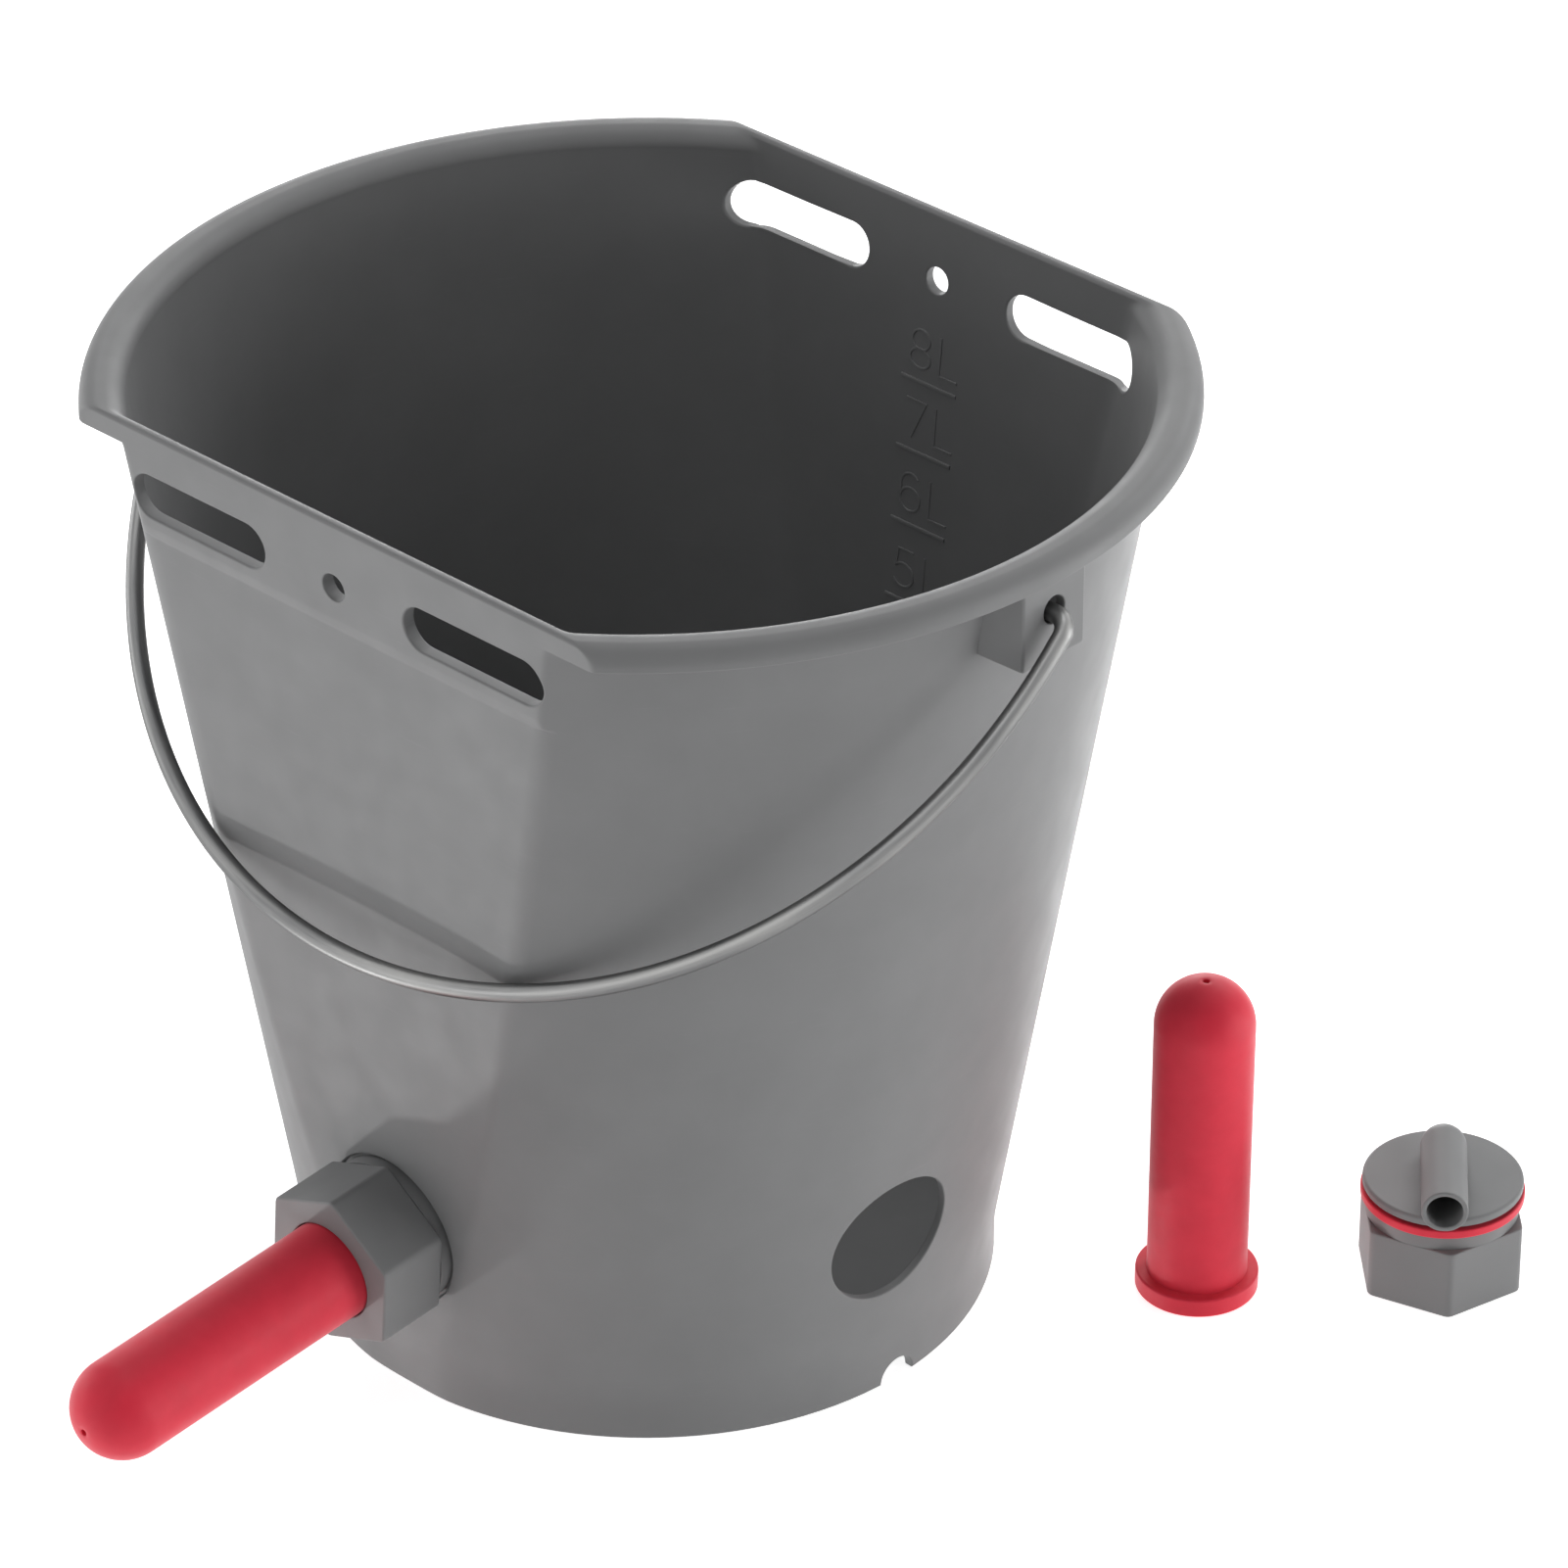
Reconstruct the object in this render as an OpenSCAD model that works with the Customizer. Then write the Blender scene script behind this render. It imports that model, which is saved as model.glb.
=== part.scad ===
/* [Bucket] */
// Height of the rim above the ground
bucket_height = 277.6; // [250:1:310]
// Outer radius at which the line of the curved wall meets the ground
wall_base_radius = 94.25; // [90:0.25:102]
// Outward slope of the curved wall, in mm for each mm of height
wall_slope = 0.1595; // [0.14:0.0005:0.18]
// Thickness of the curved wall
wall = 2.5; // [2:0.1:3]
// How far each flat side lies outside the line of the curved wall at the ground
flat_outset = 1.35; // [0.5:0.05:3]
// Outward slope of the front flat side, in mm for each mm of height
front_slope = 0.0687; // [0.05:0.0001:0.09]
// Outward slope of the back flat side, in mm for each mm of height
back_slope = 0.0893; // [0.05:0.0001:0.1]
// Thickness of the flat sides
flat_wall = 3.4; // [2.8:0.1:4.5]
// Height of the floor's upper face above the ground
floor_top = 14.5; // [9:0.5:20]
// Thickness of the floor
floor_thickness = 3; // [2:0.1:4.5]
// How far the foot ring stands out from the line of the curved wall
foot_flare = 2.05; // [1:0.05:3]
// Thickness of the foot ring
foot_wall = 3; // [2.2:0.1:5]
// Radius of the half-round notch in the foot ring
notch_radius = 6.1; // [3:0.1:8]
// Direction of the notch, in degrees from +X
notch_turn = -1.5; // [-20:0.5:20]

/* [Rim] */
// How far the rolled rim stands out from the wall's outer face
rim_overhang = 9; // [7.5:0.1:14]
// Height of the rolled rim's outer edge
rim_drop = 6.5; // [5.6:0.1:12]
// Thickness of the rolled rim
rim_skin = 2.4; // [1.8:0.1:3]
// Radius of the rim's outer shoulder
rim_round = 5; // [3.4:0.1:5.4]
// Radius of the rounded mouth inside the rim
mouth_round = 5.5; // [3.4:0.1:5.5]

/* [Top band] */
// Height of the thick band at the top of each flat side
band_height = 29.1; // [24:0.1:40]
// How far the band's face lies behind the line of the flat side's lower part
band_recess = 0.3; // [0:0.1:0.8]
// How far the flat side's face is drawn in just below the band
waist_depth = 1.2; // [0.8:0.1:1.4]
// Height at which the flat side's face starts to draw in
waist_start = 140; // [100:5:180]
// Height of the ledge from the drawn-in face out to the band
ledge_height = 4; // [2:0.1:6]
// Extra thickness inside the front band
front_band_extra = 1; // [0:0.1:1.4]
// Radius of the front band's rounded inner edge
front_edge_round = 2.7; // [1:0.1:2.8]
// Radius of the rounded top edges of the flat sides
bead_round = 1.2; // [0.4:0.1:1.3]
// Depth of the slots and hanging holes below the rim, to their centres
slot_drop = 19.7; // [16:0.1:21]
// End-to-end length of each slot
slot_length = 49.5; // [20:0.5:60]
// Height of each slot
slot_height = 13.2; // [6:0.1:14]
// Distance between the centres of the two slots in a band
slot_spacing = 100.2; // [80:0.2:104]
// Diameter of the hanging hole between the slots
hanging_hole_d = 7.9; // [4:0.1:14]

/* [Ears and bail] */
// Width of each ear at its outer face
ear_width = 23.4; // [20:0.2:34]
// Width of each ear where it meets the wall
ear_root_width = 32; // [26:0.2:44]
// How far the ear's face lies inside the edge of the rim
ear_inset = 2.5; // [1:0.1:4]
// Depth of the ear's lower edge below the rim
ear_depth = 30.4; // [26:0.2:40]
// Rise of the ear's underside from its face to the wall
ear_rise = 3; // [0:0.5:8]
// Thickness of the ear's outer plate
ear_plate = 3; // [2:0.1:4]
// Thickness of the ear's side plates
ear_side = 2.5; // [2:0.1:4]
// Diameter of the hole for the bail
ear_hole_d = 7.8; // [6:0.1:11]
// Depth of the bail's hole below the rim
ear_hole_drop = 16.1; // [13:0.1:19]
// Diameter of the bail's wire
wire_d = 5; // [3:0.1:5.5]
// Length of the bail's straight legs, from the pivot to the round part
bail_leg = 9.2; // [7.5:0.1:40]
// Radius of the bend above each end of the bail
bail_bend = 5; // [3:0.1:7]

/* [Valve] */
// Diameter of a valve hole in the wall
valve_hole_d = 39.6; // [38.4:0.1:41]
// Height of the mounted valve's centre above the ground
valve_height = 52.7; // [50:0.5:120]
// Diameter of the shallow recess round the mounted valve
recess_d = 45; // [43.8:0.1:48]
// Depth of the shallow recess
recess_depth = 1.5; // [0.5:0.1:2]
// Height of the spare valve hole's centre above the ground
side_hole_height = 53.1; // [40:0.5:150]
// Direction of the spare valve hole, in degrees from +X
side_hole_turn = -6.3; // [-25:0.1:25]
// Diameter of the gasket
gasket_d = 45.6; // [43:0.1:48]
// Thickness of the gasket
gasket_thickness = 2.6; // [1.5:0.1:4]
// Diameter of the valve's disc
disc_d = 44.7; // [43:0.1:48]
// Thickness of the disc
disc_thickness = 2.5; // [1.8:0.1:4]
// Diameter of the narrow land between the gasket and the disc
land_d = 41; // [38:0.1:42]
// Height of the narrow land
land_height = 0.9; // [0.3:0.1:2]
// Outer diameter of the spigot's thread
thread_d = 37; // [34:0.1:37.6]
// Bore of the spigot
spigot_bore = 30.6; // [26:0.1:31]
// Outer diameter of the inlet tube
inlet_d = 13; // [12.4:0.1:15]
// Bore of the inlet tube
inlet_bore = 10.1; // [9.6:0.1:10.6]
// Height of the inlet tube's axis above the disc
inlet_rise = 3.7; // [3.6:0.1:6]
// Distance from the valve's centre to the inlet tube's mouth
inlet_reach = 23.9; // [18:0.1:30]
// Distance from the valve's centre to the tube's rounded end
inlet_back = 8.1; // [4:0.1:12]

/* [Check ball] */
// Diameter of the check ball
ball_d = 12; // [10.4:0.1:13]
// Distance that the ball moves between its cage and its seat
ball_travel = 2.5; // [1:0.1:3.5]
// Diameter of the seat that the ball closes
seat_d = 9.5; // [7:0.1:9.6]
// Thickness of the tube that guides the ball
guide_wall = 1.7; // [1.3:0.1:2.2]
// Number of milk channels in the guide tube
channel_count = 4; // [3:1:6]
// Thickness of the ball cage's ring and cross
cage_wall = 1.6; // [1.2:0.1:2]
// Width of each bar of the cage's cross
cage_bar = 2.4; // [1.6:0.1:3.5]
// Length of the cage's ring along the guide tube
cage_length = 6; // [3:0.1:8]

/* [Nut] */
// Diameter of the nut's round collar
collar_d = 43; // [41.4:0.1:43.2]
// Thickness of the collar
collar_thickness = 4.4; // [3:0.1:6]
// Width of the nut across its flats
nut_width = 42.4; // [41:0.1:48]
// Height of the nut's hexagon
nut_height = 21.2; // [20:0.1:26]
// Thickness of the nut's front lip
nut_lip = 5; // [3:0.1:5]
// Turn of the mounted nut's first corner, in degrees
nut_turn = 21.75; // [0:0.25:60]

/* [Teat] */
// Diameter of the teat
teat_d = 28; // [24:0.1:29]
// Length of the teat with its flange
teat_length = 100; // [80:1:125]
// Diameter of the teat's flange
teat_flange_d = 34.3; // [33:0.1:36]
// Thickness of the teat's flange
teat_flange = 5.7; // [3:0.1:6]
// Thickness of the rubber
teat_wall = 3.8; // [2:0.1:4.5]
// Diameter of the hole in the teat's tip
tip_hole_d = 1.8; // [0.8:0.1:3]

/* [Spare pieces] */
// Distance of the spare teat from the bucket's middle, to the right
spare_teat_x = 126.5; // [120:0.5:200]
// Distance of the spare teat from the bucket's middle, to the back
spare_teat_y = 87.4; // [84:0.1:200]
// Distance of the spare valve from the bucket's middle, to the right
spare_valve_x = 171.2; // [165:0.1:260]
// Distance of the spare valve from the bucket's middle, to the back
spare_valve_y = 138.9; // [136:0.1:240]
// Direction in which the spare valve's inlet tube points, in degrees from +X
spare_inlet_turn = -50.2; // [-180:0.1:180]
// Direction of one corner of the spare nut, in degrees from +X
spare_nut_turn = -44.2; // [-60:0.1:60]

/* [Litre marks] */
// Length of each raised litre mark
mark_length = 20; // [8:0.5:40]
// Height of each raised litre mark
mark_height = 1.2; // [0.6:0.1:2.5]
// How far the litre marks stand out from the wall
mark_relief = 0.5; // [0.2:0.1:1]

/* [Clearances] */
// Gap between curved faces of pieces that move past each other
running_gap = 0.3; // [0.2:0.05:0.5]
// Gap between the nearer of the bail's legs and the rim
bail_gap = 0.5; // [0.4:0.1:2]
// How far the loose bail sits to the left in its ears
bail_slip = 0.9; // [0:0.1:2]
// Gap between the ball cage and the guide tube
cage_gap = 0.1; // [0.05:0.05:0.2]

/* [Hidden] */
$fn = 96;

// Depth by which a cutting shape runs past the face that it cuts
over = 1;

// Distance of each flat side at the ground
flat_base = wall_base_radius + flat_outset;
// Outer radius of the curved wall, and distance of each flat side, at height z
function wall_radius(z) = wall_base_radius + wall_slope * z;
function flat_reach(slope, z) = flat_base + slope * z;
// Thicknesses measured level, because the walls lean
level_wall = wall * sqrt(1 + wall_slope * wall_slope);
function level_flat(slope) = flat_wall * sqrt(1 + slope * slope);

foot_radius = wall_base_radius + foot_flare;
foot_height = foot_flare / wall_slope;
rim_radius = wall_radius(bucket_height) + rim_overhang;
rim_bottom = bucket_height - rim_drop;
mouth_start = bucket_height - mouth_round;
mouth_radius = wall_radius(mouth_start) - level_wall;
ledge_top = bucket_height - band_height;
ledge_bottom = ledge_top - ledge_height;
slot_z = bucket_height - slot_drop;

// The bail lies low in its hole, just clear of the lower edge
pivot_z = bucket_height - ear_hole_drop - (ear_hole_d - wire_d) / 2 + running_gap;
ear_face = rim_radius - ear_inset;
bail_radius = rim_radius + bail_gap + wire_d / 2 + bail_slip;
bail_end = wall_radius(pivot_z + wire_d / 2) + running_gap + bail_slip;

// Places along the valve's axis, from the inner face of the bucket's wall and outwards
disc_face = -gasket_thickness - land_height;
disc_back = disc_face - disc_thickness;
nut_seat = flat_wall - recess_depth;
nut_front = nut_seat + collar_thickness + nut_height;
spigot_end = nut_front - nut_lip - teat_flange;
inlet_axis = disc_back - inlet_rise;
ball_seated = disc_face + sqrt(pow(ball_d / 2 + running_gap, 2) - pow(seat_d / 2, 2));
ball_rest = ball_seated + ball_travel;
guide_end = ball_rest + ball_d / 2 + running_gap;
guide_bore = ball_d / 2 + running_gap;
guide_radius = guide_bore + guide_wall;
channel_radius = 0.7 * guide_wall;
thread_bore = thread_d / 2 + running_gap;
nut_total = collar_thickness + nut_height;
valve_tilt = atan(front_slope);

// Points of an arc, as a list for a polygon
function arc(centre, radius, from, to, steps = 16) =
    [for (i = [0:steps]) let (a = from + (to - from) * i / steps)
        [centre[0] + radius * cos(a), centre[1] + radius * sin(a)]];

// Area of the part of a circle that lies beyond a straight cut
function segment_area(radius, cut) = cut >= radius ? 0 :
    radius * radius * acos(cut / radius) * PI / 180 - cut * sqrt(radius * radius - cut * cut);
// Area of the milk's surface at height z
function milk_area(z) =
    let (r = wall_radius(z) - level_wall)
    PI * r * r
        - segment_area(r, flat_reach(front_slope, z) - level_flat(front_slope))
        - segment_area(r, flat_reach(back_slope, z) - level_flat(back_slope));
// Height at which the bucket holds a volume, in cubic mm, found in steps up from the floor
function fill_height(volume, z = floor_top, step = 0.5) =
    volume <= milk_area(z) * step ? z + volume / milk_area(z)
        : fill_height(volume - milk_area(z + step / 2) * step, z + step, step);
litre = 1000000;
mark_margin = 14;
function mark_count(n = 1) =
    fill_height(n * litre) > ledge_bottom - mark_margin ? n - 1 : mark_count(n + 1);

// Gap from a point to the outside of the bucket, near the corner of a flat side and the curved wall.
// A flat side's outward direction is -Y for the front (side -1) and +Y for the back (side 1).
function corner_gap(p, side, slope) =
    let (r = norm([p[0], p[1]]),
         to_wall = (r - wall_radius(p[2])) / sqrt(1 + wall_slope * wall_slope),
         to_flat = (side * p[1] - flat_reach(slope, p[2])) / sqrt(1 + slope * slope),
         wall_normal = [p[0] / r, p[1] / r, -wall_slope] / sqrt(1 + wall_slope * wall_slope),
         flat_normal = [0, side, -slope] / sqrt(1 + slope * slope),
         c = wall_normal * flat_normal)
    to_wall > to_flat * c && to_flat > to_wall * c
        ? sqrt((to_wall * to_wall + to_flat * to_flat - 2 * to_wall * to_flat * c) / (1 - c * c))
        : max(to_wall, to_flat);
// A point on the middle of the bail's wire, at an angle along its round part
function bail_point(t, lean, side) =
    let (reach = bail_leg + bail_radius * cos(t))
    [bail_radius * sin(t) - bail_slip, side * reach * sin(lean), pivot_z - reach * cos(lean)];
// Smallest gap between the leaning bail's wire and the bucket
function bail_rest_gap(lean, side, slope) =
    min([for (end = [-1, 1], t = [4:0.25:60]) corner_gap(bail_point(end * t, lean, side), side, slope)])
        - wire_d / 2;
// Lean, from straight down, at which the bail comes to rest against a flat side
function bail_rest(side, slope, low = 25, high = 80, steps = 18) =
    let (middle = (low + high) / 2)
    steps == 0 ? middle
        : bail_rest_gap(middle, side, slope) > running_gap
            ? bail_rest(side, slope, low, middle, steps - 1)
            : bail_rest(side, slope, middle, high, steps - 1);
bail_lean = bail_rest(-1, front_slope);

bucket_grey = [0.47, 0.48, 0.49];
rubber_red = [0.74, 0.15, 0.22];
wire_grey = [0.72, 0.72, 0.71];
ball_white = [0.92, 0.92, 0.9];

// Outer body as a round solid, with the full section of the rolled rim
module round_body()
    rotate_extrude()
        polygon(concat(
            [[0, 0], [foot_radius, 0], [foot_radius, foot_height]],
            [[wall_radius(rim_bottom), rim_bottom], [rim_radius, rim_bottom]],
            arc([rim_radius - rim_round, bucket_height - rim_round], rim_round, 0, 90),
            [[0, bucket_height]]));

// Space between the two flat sides, with their waists, thick bands and rounded top edges
module between_flats() {
    reach = wall_radius(bucket_height) + rim_overhang + over;
    // One side's outline, from the ground to the top, in distance and height
    function side_line(slope) = concat(
        [[flat_reach(slope, 0), 0], [flat_reach(slope, waist_start), waist_start],
         [flat_reach(slope, ledge_bottom) - waist_depth, ledge_bottom],
         [flat_reach(slope, ledge_top) - band_recess, ledge_top]],
        arc([flat_reach(slope, bucket_height) - band_recess - bead_round, bucket_height - bead_round],
            bead_round, 0, 90, 8));
    back = side_line(back_slope);
    front = [for (p = side_line(front_slope)) [-p[0], p[1]]];
    translate([-reach, 0, 0])
        rotate([90, 0, 90])
            linear_extrude(2 * reach)
                polygon(concat(back, [for (i = [len(front) - 1:-1:0]) front[i]]));
}

// Hollow inside as a round solid, with the rounded mouth
module round_cavity()
    rotate_extrude()
        polygon(concat(
            [[0, floor_top], [wall_radius(floor_top) - level_wall, floor_top]],
            arc([mouth_radius + mouth_round, mouth_start], mouth_round, 180, 90),
            [[mouth_radius + mouth_round, bucket_height + over], [0, bucket_height + over]]));

// Hollow between the inner faces of the two flat sides
module cavity_between_flats() {
    reach = wall_radius(bucket_height) + rim_overhang;
    function inner(slope, z) = flat_reach(slope, z) - level_flat(slope);
    // Place of the edge's rounding at the top, for a band with extra thickness
    function edge_start(slope, extra, round_r) = inner(slope, bucket_height - round_r) - extra + round_r;
    // One side's outline, from the floor to the rounded top edge, in distance and height
    function side_line(slope, extra, round_r) = concat(
        [[inner(slope, floor_top), floor_top]],
        extra > 0 ? [[inner(slope, ledge_bottom), ledge_bottom], [inner(slope, ledge_top) - extra, ledge_top]]
            : [],
        arc([edge_start(slope, extra, round_r), bucket_height - round_r], round_r, 180, 90, 8),
        [[edge_start(slope, extra, round_r), bucket_height + over]]);
    back = side_line(back_slope, 0, bead_round);
    front = [for (p = side_line(front_slope, front_band_extra, front_edge_round)) [-p[0], p[1]]];
    translate([-reach, 0, 0])
        rotate([90, 0, 90])
            linear_extrude(2 * reach)
                polygon(concat(back, [for (i = [len(front) - 1:-1:0]) front[i]]));
}

// Channel under the rolled rim, which ends short of the flat sides and leaves a web there
module rim_channel() {
    inner_top = bucket_height - rim_skin;
    lip_inside = rim_radius - rim_skin;
    channel_round = rim_round - rim_skin;
    bend = mouth_round - rim_skin;
    root = mouth_radius + mouth_round - bend;
    intersection() {
        rotate_extrude()
            polygon(concat(
                [[root, rim_bottom - over], [lip_inside, rim_bottom - over]],
                arc([lip_inside - channel_round, inner_top - channel_round], channel_round, 0, 90),
                arc([mouth_radius + mouth_round, inner_top - bend], bend, 90, 180)));
        translate([-rim_radius, -flat_reach(front_slope, rim_bottom) + band_recess + rim_skin, 0])
            cube([2 * rim_radius,
                  flat_reach(front_slope, rim_bottom) + flat_reach(back_slope, rim_bottom)
                      - 2 * (band_recess + rim_skin),
                  bucket_height]);
    }
}

// The block of one ear in the +X direction, or the pocket left by the thicknesses of its plates
module ear_block(plate = 0, side = 0, low = 0) {
    root = wall_radius(bucket_height - ear_depth);
    start = root - 2 * wall;
    face = ear_face - plate;
    narrow = ear_width / 2 - side;
    wide = ear_root_width / 2 - side;
    bottom = bucket_height - ear_depth - low;
    top = plate > 0 ? rim_bottom : bucket_height - rim_skin / 2;
    intersection() {
        linear_extrude(bucket_height)
            polygon([[start, -wide], [root, -wide], [face, -narrow],
                     [face, narrow], [root, wide], [start, wide]]);
        translate([0, ear_root_width, 0])
            rotate([90, 0, 0])
                linear_extrude(2 * ear_root_width)
                    polygon([[start, bottom + ear_rise], [root, bottom + ear_rise], [ear_face, bottom],
                             [ear_face, top], [start, top]]);
    }
}

// One ear, whose pocket is open below and closed by the bucket's wall
module ear()
    difference() {
        ear_block();
        ear_block(ear_plate, ear_side, ear_rise + over);
    }

module slots()
    for (side = [-1, 1])
        translate([side * slot_spacing / 2, 0, slot_z])
            rotate([90, 0, 0]) {
                for (end = [-1, 1])
                    translate([end * (slot_length - slot_height) / 2, 0, 0])
                        cylinder(d = slot_height, h = 2 * rim_radius, center = true);
                cube([slot_length - slot_height, slot_height, 2 * rim_radius], center = true);
            }

// A shape that faces outwards from the front flat's inner face, at the valve's height
module at_front_valve()
    translate([0, -flat_reach(front_slope, valve_height), valve_height])
        rotate([90 + valve_tilt, 0, 0])
            translate([0, 0, -flat_wall])
                children();

// A shape that stands upside down on the spare nut's collar
module at_spare_valve(turn)
    translate([spare_valve_x, spare_valve_y, nut_total])
        rotate([180, 0, turn])
            children();

module litre_marks()
    for (n = [1:mark_count()]) {
        z = fill_height(n * litre);
        translate([0, flat_reach(back_slope, z) - level_flat(back_slope), z])
            rotate([-atan(back_slope), 0, 0])
                translate([-mark_length / 2, -mark_relief, -mark_height / 2])
                    cube([mark_length, mark_relief + flat_wall / 4, mark_height]);
    }

module bucket()
    color(bucket_grey)
        difference() {
            union() {
                difference() {
                    union() {
                        difference() {
                            intersection() {
                                round_body();
                                between_flats();
                            }
                            rim_channel();
                        }
                        for (turn = [0, 180])
                            rotate([0, 0, turn])
                                ear();
                    }
                    intersection() {
                        round_cavity();
                        cavity_between_flats();
                    }
                }
                litre_marks();
            }
            // Hollow under the floor
            translate([0, 0, -over])
                cylinder(r = foot_radius - foot_wall, h = floor_top - floor_thickness + over);
            for (turn = [notch_turn, notch_turn + 180])
                rotate([0, 0, turn])
                    rotate([0, 90, 0])
                        cylinder(r = notch_radius, h = foot_radius + over);
            for (turn = [0, 180])
                rotate([0, 0, turn])
                    translate([ear_face - ear_plate - over, 0, bucket_height - ear_hole_drop])
                        rotate([0, 90, 0])
                            cylinder(d = ear_hole_d, h = rim_radius);
            slots();
            translate([0, 0, slot_z])
                rotate([90, 0, 0])
                    cylinder(d = hanging_hole_d, h = 2 * rim_radius, center = true);
            // Hole and recess of the mounted valve
            at_front_valve() {
                translate([0, 0, -over])
                    cylinder(d = valve_hole_d, h = flat_wall + 2 * over);
                translate([0, 0, nut_seat])
                    cylinder(d = recess_d, h = recess_depth + over);
            }
            // Spare valve hole, square to the curved wall
            rotate([0, 0, side_hole_turn])
                translate([wall_radius(side_hole_height), 0, side_hole_height])
                    rotate([0, 90 + atan(wall_slope), 0])
                        cylinder(d = valve_hole_d, h = 8 * wall, center = true);
        }

// The bail hangs from its two ends and leans on the front flat's corners
module bail()
    color(wire_grey)
        translate([-bail_slip, 0, pivot_z])
            rotate([-bail_lean, 0, 0]) {
                translate([0, 0, -bail_leg])
                    rotate([90, 0, 0])
                        rotate([0, 0, 180])
                            rotate_extrude(angle = 180)
                                translate([bail_radius, 0])
                                    circle(d = wire_d);
                for (turn = [0, 180])
                    rotate([0, 0, turn]) {
                        translate([bail_radius, 0, -bail_leg])
                            cylinder(d = wire_d, h = bail_leg - bail_bend);
                        translate([bail_radius - bail_bend, 0, -bail_bend])
                            rotate([90, 0, 0])
                                rotate_extrude(angle = 90)
                                    translate([bail_bend, 0])
                                        circle(d = wire_d);
                        translate([bail_end, 0, 0])
                            rotate([0, 90, 0])
                                cylinder(d = wire_d, h = bail_radius - bail_bend - bail_end);
                    }
            }

// A rod along the inlet tube's axis, from its rounded end to a distance towards -Y.
// The round end stops short of its pole and closes with a small flat.
module inlet_rod(radius, reach) {
    round_angle = 80;
    translate([0, 0, inlet_axis])
        rotate([90, 0, 0])
            rotate_extrude()
                polygon(concat(
                    [[0, reach], [radius, reach]],
                    arc([0, -inlet_back], radius, 0, -round_angle),
                    [[0, -inlet_back - radius * sin(round_angle)]]));
}

// Valve body, with its spigot along +Z and its inlet tube opening towards -Y
module valve_body_shape()
    difference() {
        union() {
            translate([0, 0, disc_back])
                cylinder(d = disc_d, h = disc_thickness);
            translate([0, 0, disc_face])
                cylinder(d = land_d, h = land_height);
            translate([0, 0, disc_face])
                cylinder(d = thread_d, h = spigot_end - disc_face);
            // Inlet tube, whose side runs into the disc
            difference() {
                inlet_rod(inlet_d / 2, inlet_reach);
                translate([0, 0, disc_face])
                    cylinder(r = inlet_reach + inlet_d, h = inlet_d);
            }
        }
        // Bore of the spigot round the ball's guide tube
        difference() {
            translate([0, 0, disc_face])
                cylinder(d = spigot_bore, h = spigot_end - disc_face + over);
            translate([0, 0, disc_face])
                cylinder(r = guide_radius, h = guide_end - disc_face);
        }
        translate([0, 0, disc_face])
            cylinder(r = guide_bore, h = guide_end - disc_face + over);
        // Milk channels along the guide tube, which start level with the gasket's outer face
        for (i = [0:channel_count - 1])
            rotate([0, 0, 45 + i * 360 / channel_count])
                translate([guide_bore, 0, -gasket_thickness])
                    cylinder(r = channel_radius, h = guide_end + gasket_thickness + over);
        // Seat hole from the inlet tube's bore
        translate([0, 0, inlet_axis])
            cylinder(d = seat_d, h = disc_face - inlet_axis + over);
        inlet_rod(inlet_bore / 2, inlet_reach + over);
    }

module gasket_shape()
    translate([0, 0, -gasket_thickness])
        difference() {
            cylinder(d = gasket_d, h = gasket_thickness);
            translate([0, 0, -over])
                cylinder(r = thread_bore, h = gasket_thickness + 2 * over);
        }

// The cage is a ring round the guide tube with a cross over its end
module ball_cage_shape() {
    ring_inside = guide_radius + cage_gap;
    ring_outside = ring_inside + cage_wall;
    translate([0, 0, guide_end - cage_length])
        difference() {
            cylinder(r = ring_outside, h = cage_length + cage_wall);
            translate([0, 0, -over])
                cylinder(r = ring_inside, h = cage_length + cage_wall + 2 * over);
        }
    translate([0, 0, guide_end])
        for (turn = [0, 90])
            rotate([0, 0, turn])
                translate([-ring_inside - cage_wall / 2, -cage_bar / 2, 0])
                    cube([2 * ring_inside + cage_wall, cage_bar, cage_wall]);
}

module ball_shape()
    translate([0, 0, ball_rest])
        sphere(d = ball_d);

// Nut, with its collar's seat at the origin and its front lip at the top
module nut_shape(turn)
    difference() {
        union() {
            cylinder(d = collar_d, h = collar_thickness);
            translate([0, 0, collar_thickness])
                rotate([0, 0, turn])
                    cylinder(d = nut_width / cos(30), h = nut_height, $fn = 6);
        }
        translate([0, 0, -over])
            cylinder(r = thread_bore, h = nut_total - nut_lip + over);
        cylinder(r = teat_d / 2 + running_gap, h = nut_total + over);
    }

// Teat, with its flange's back face at the origin
module teat_shape() {
    radius = teat_d / 2;
    bore = radius - teat_wall;
    dome = teat_length - radius;
    difference() {
        union() {
            cylinder(d = teat_flange_d, h = teat_flange);
            cylinder(r = radius, h = dome);
            translate([0, 0, dome])
                sphere(r = radius);
        }
        translate([0, 0, -over])
            cylinder(r = bore, h = dome + over);
        translate([0, 0, dome])
            sphere(r = bore);
        translate([0, 0, dome])
            cylinder(d = tip_hole_d, h = radius + over);
    }
}

module valve_body()
    color(bucket_grey)
        at_front_valve()
            valve_body_shape();

module valve_gasket()
    color(rubber_red)
        at_front_valve()
            gasket_shape();

module valve_ball()
    color(ball_white)
        at_front_valve()
            ball_shape();

module valve_ball_cage()
    color(ball_white)
        at_front_valve()
            ball_cage_shape();

module valve_nut()
    color(bucket_grey)
        at_front_valve()
            translate([0, 0, nut_seat])
                nut_shape(nut_turn);

module teat()
    color(rubber_red)
        at_front_valve()
            translate([0, 0, spigot_end])
                teat_shape();

// The spare valve's body is turned until its inlet tube points the named way
spare_body_turn = spare_inlet_turn - 90;

module spare_valve_body()
    color(bucket_grey)
        at_spare_valve(spare_body_turn)
            valve_body_shape();

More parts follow.
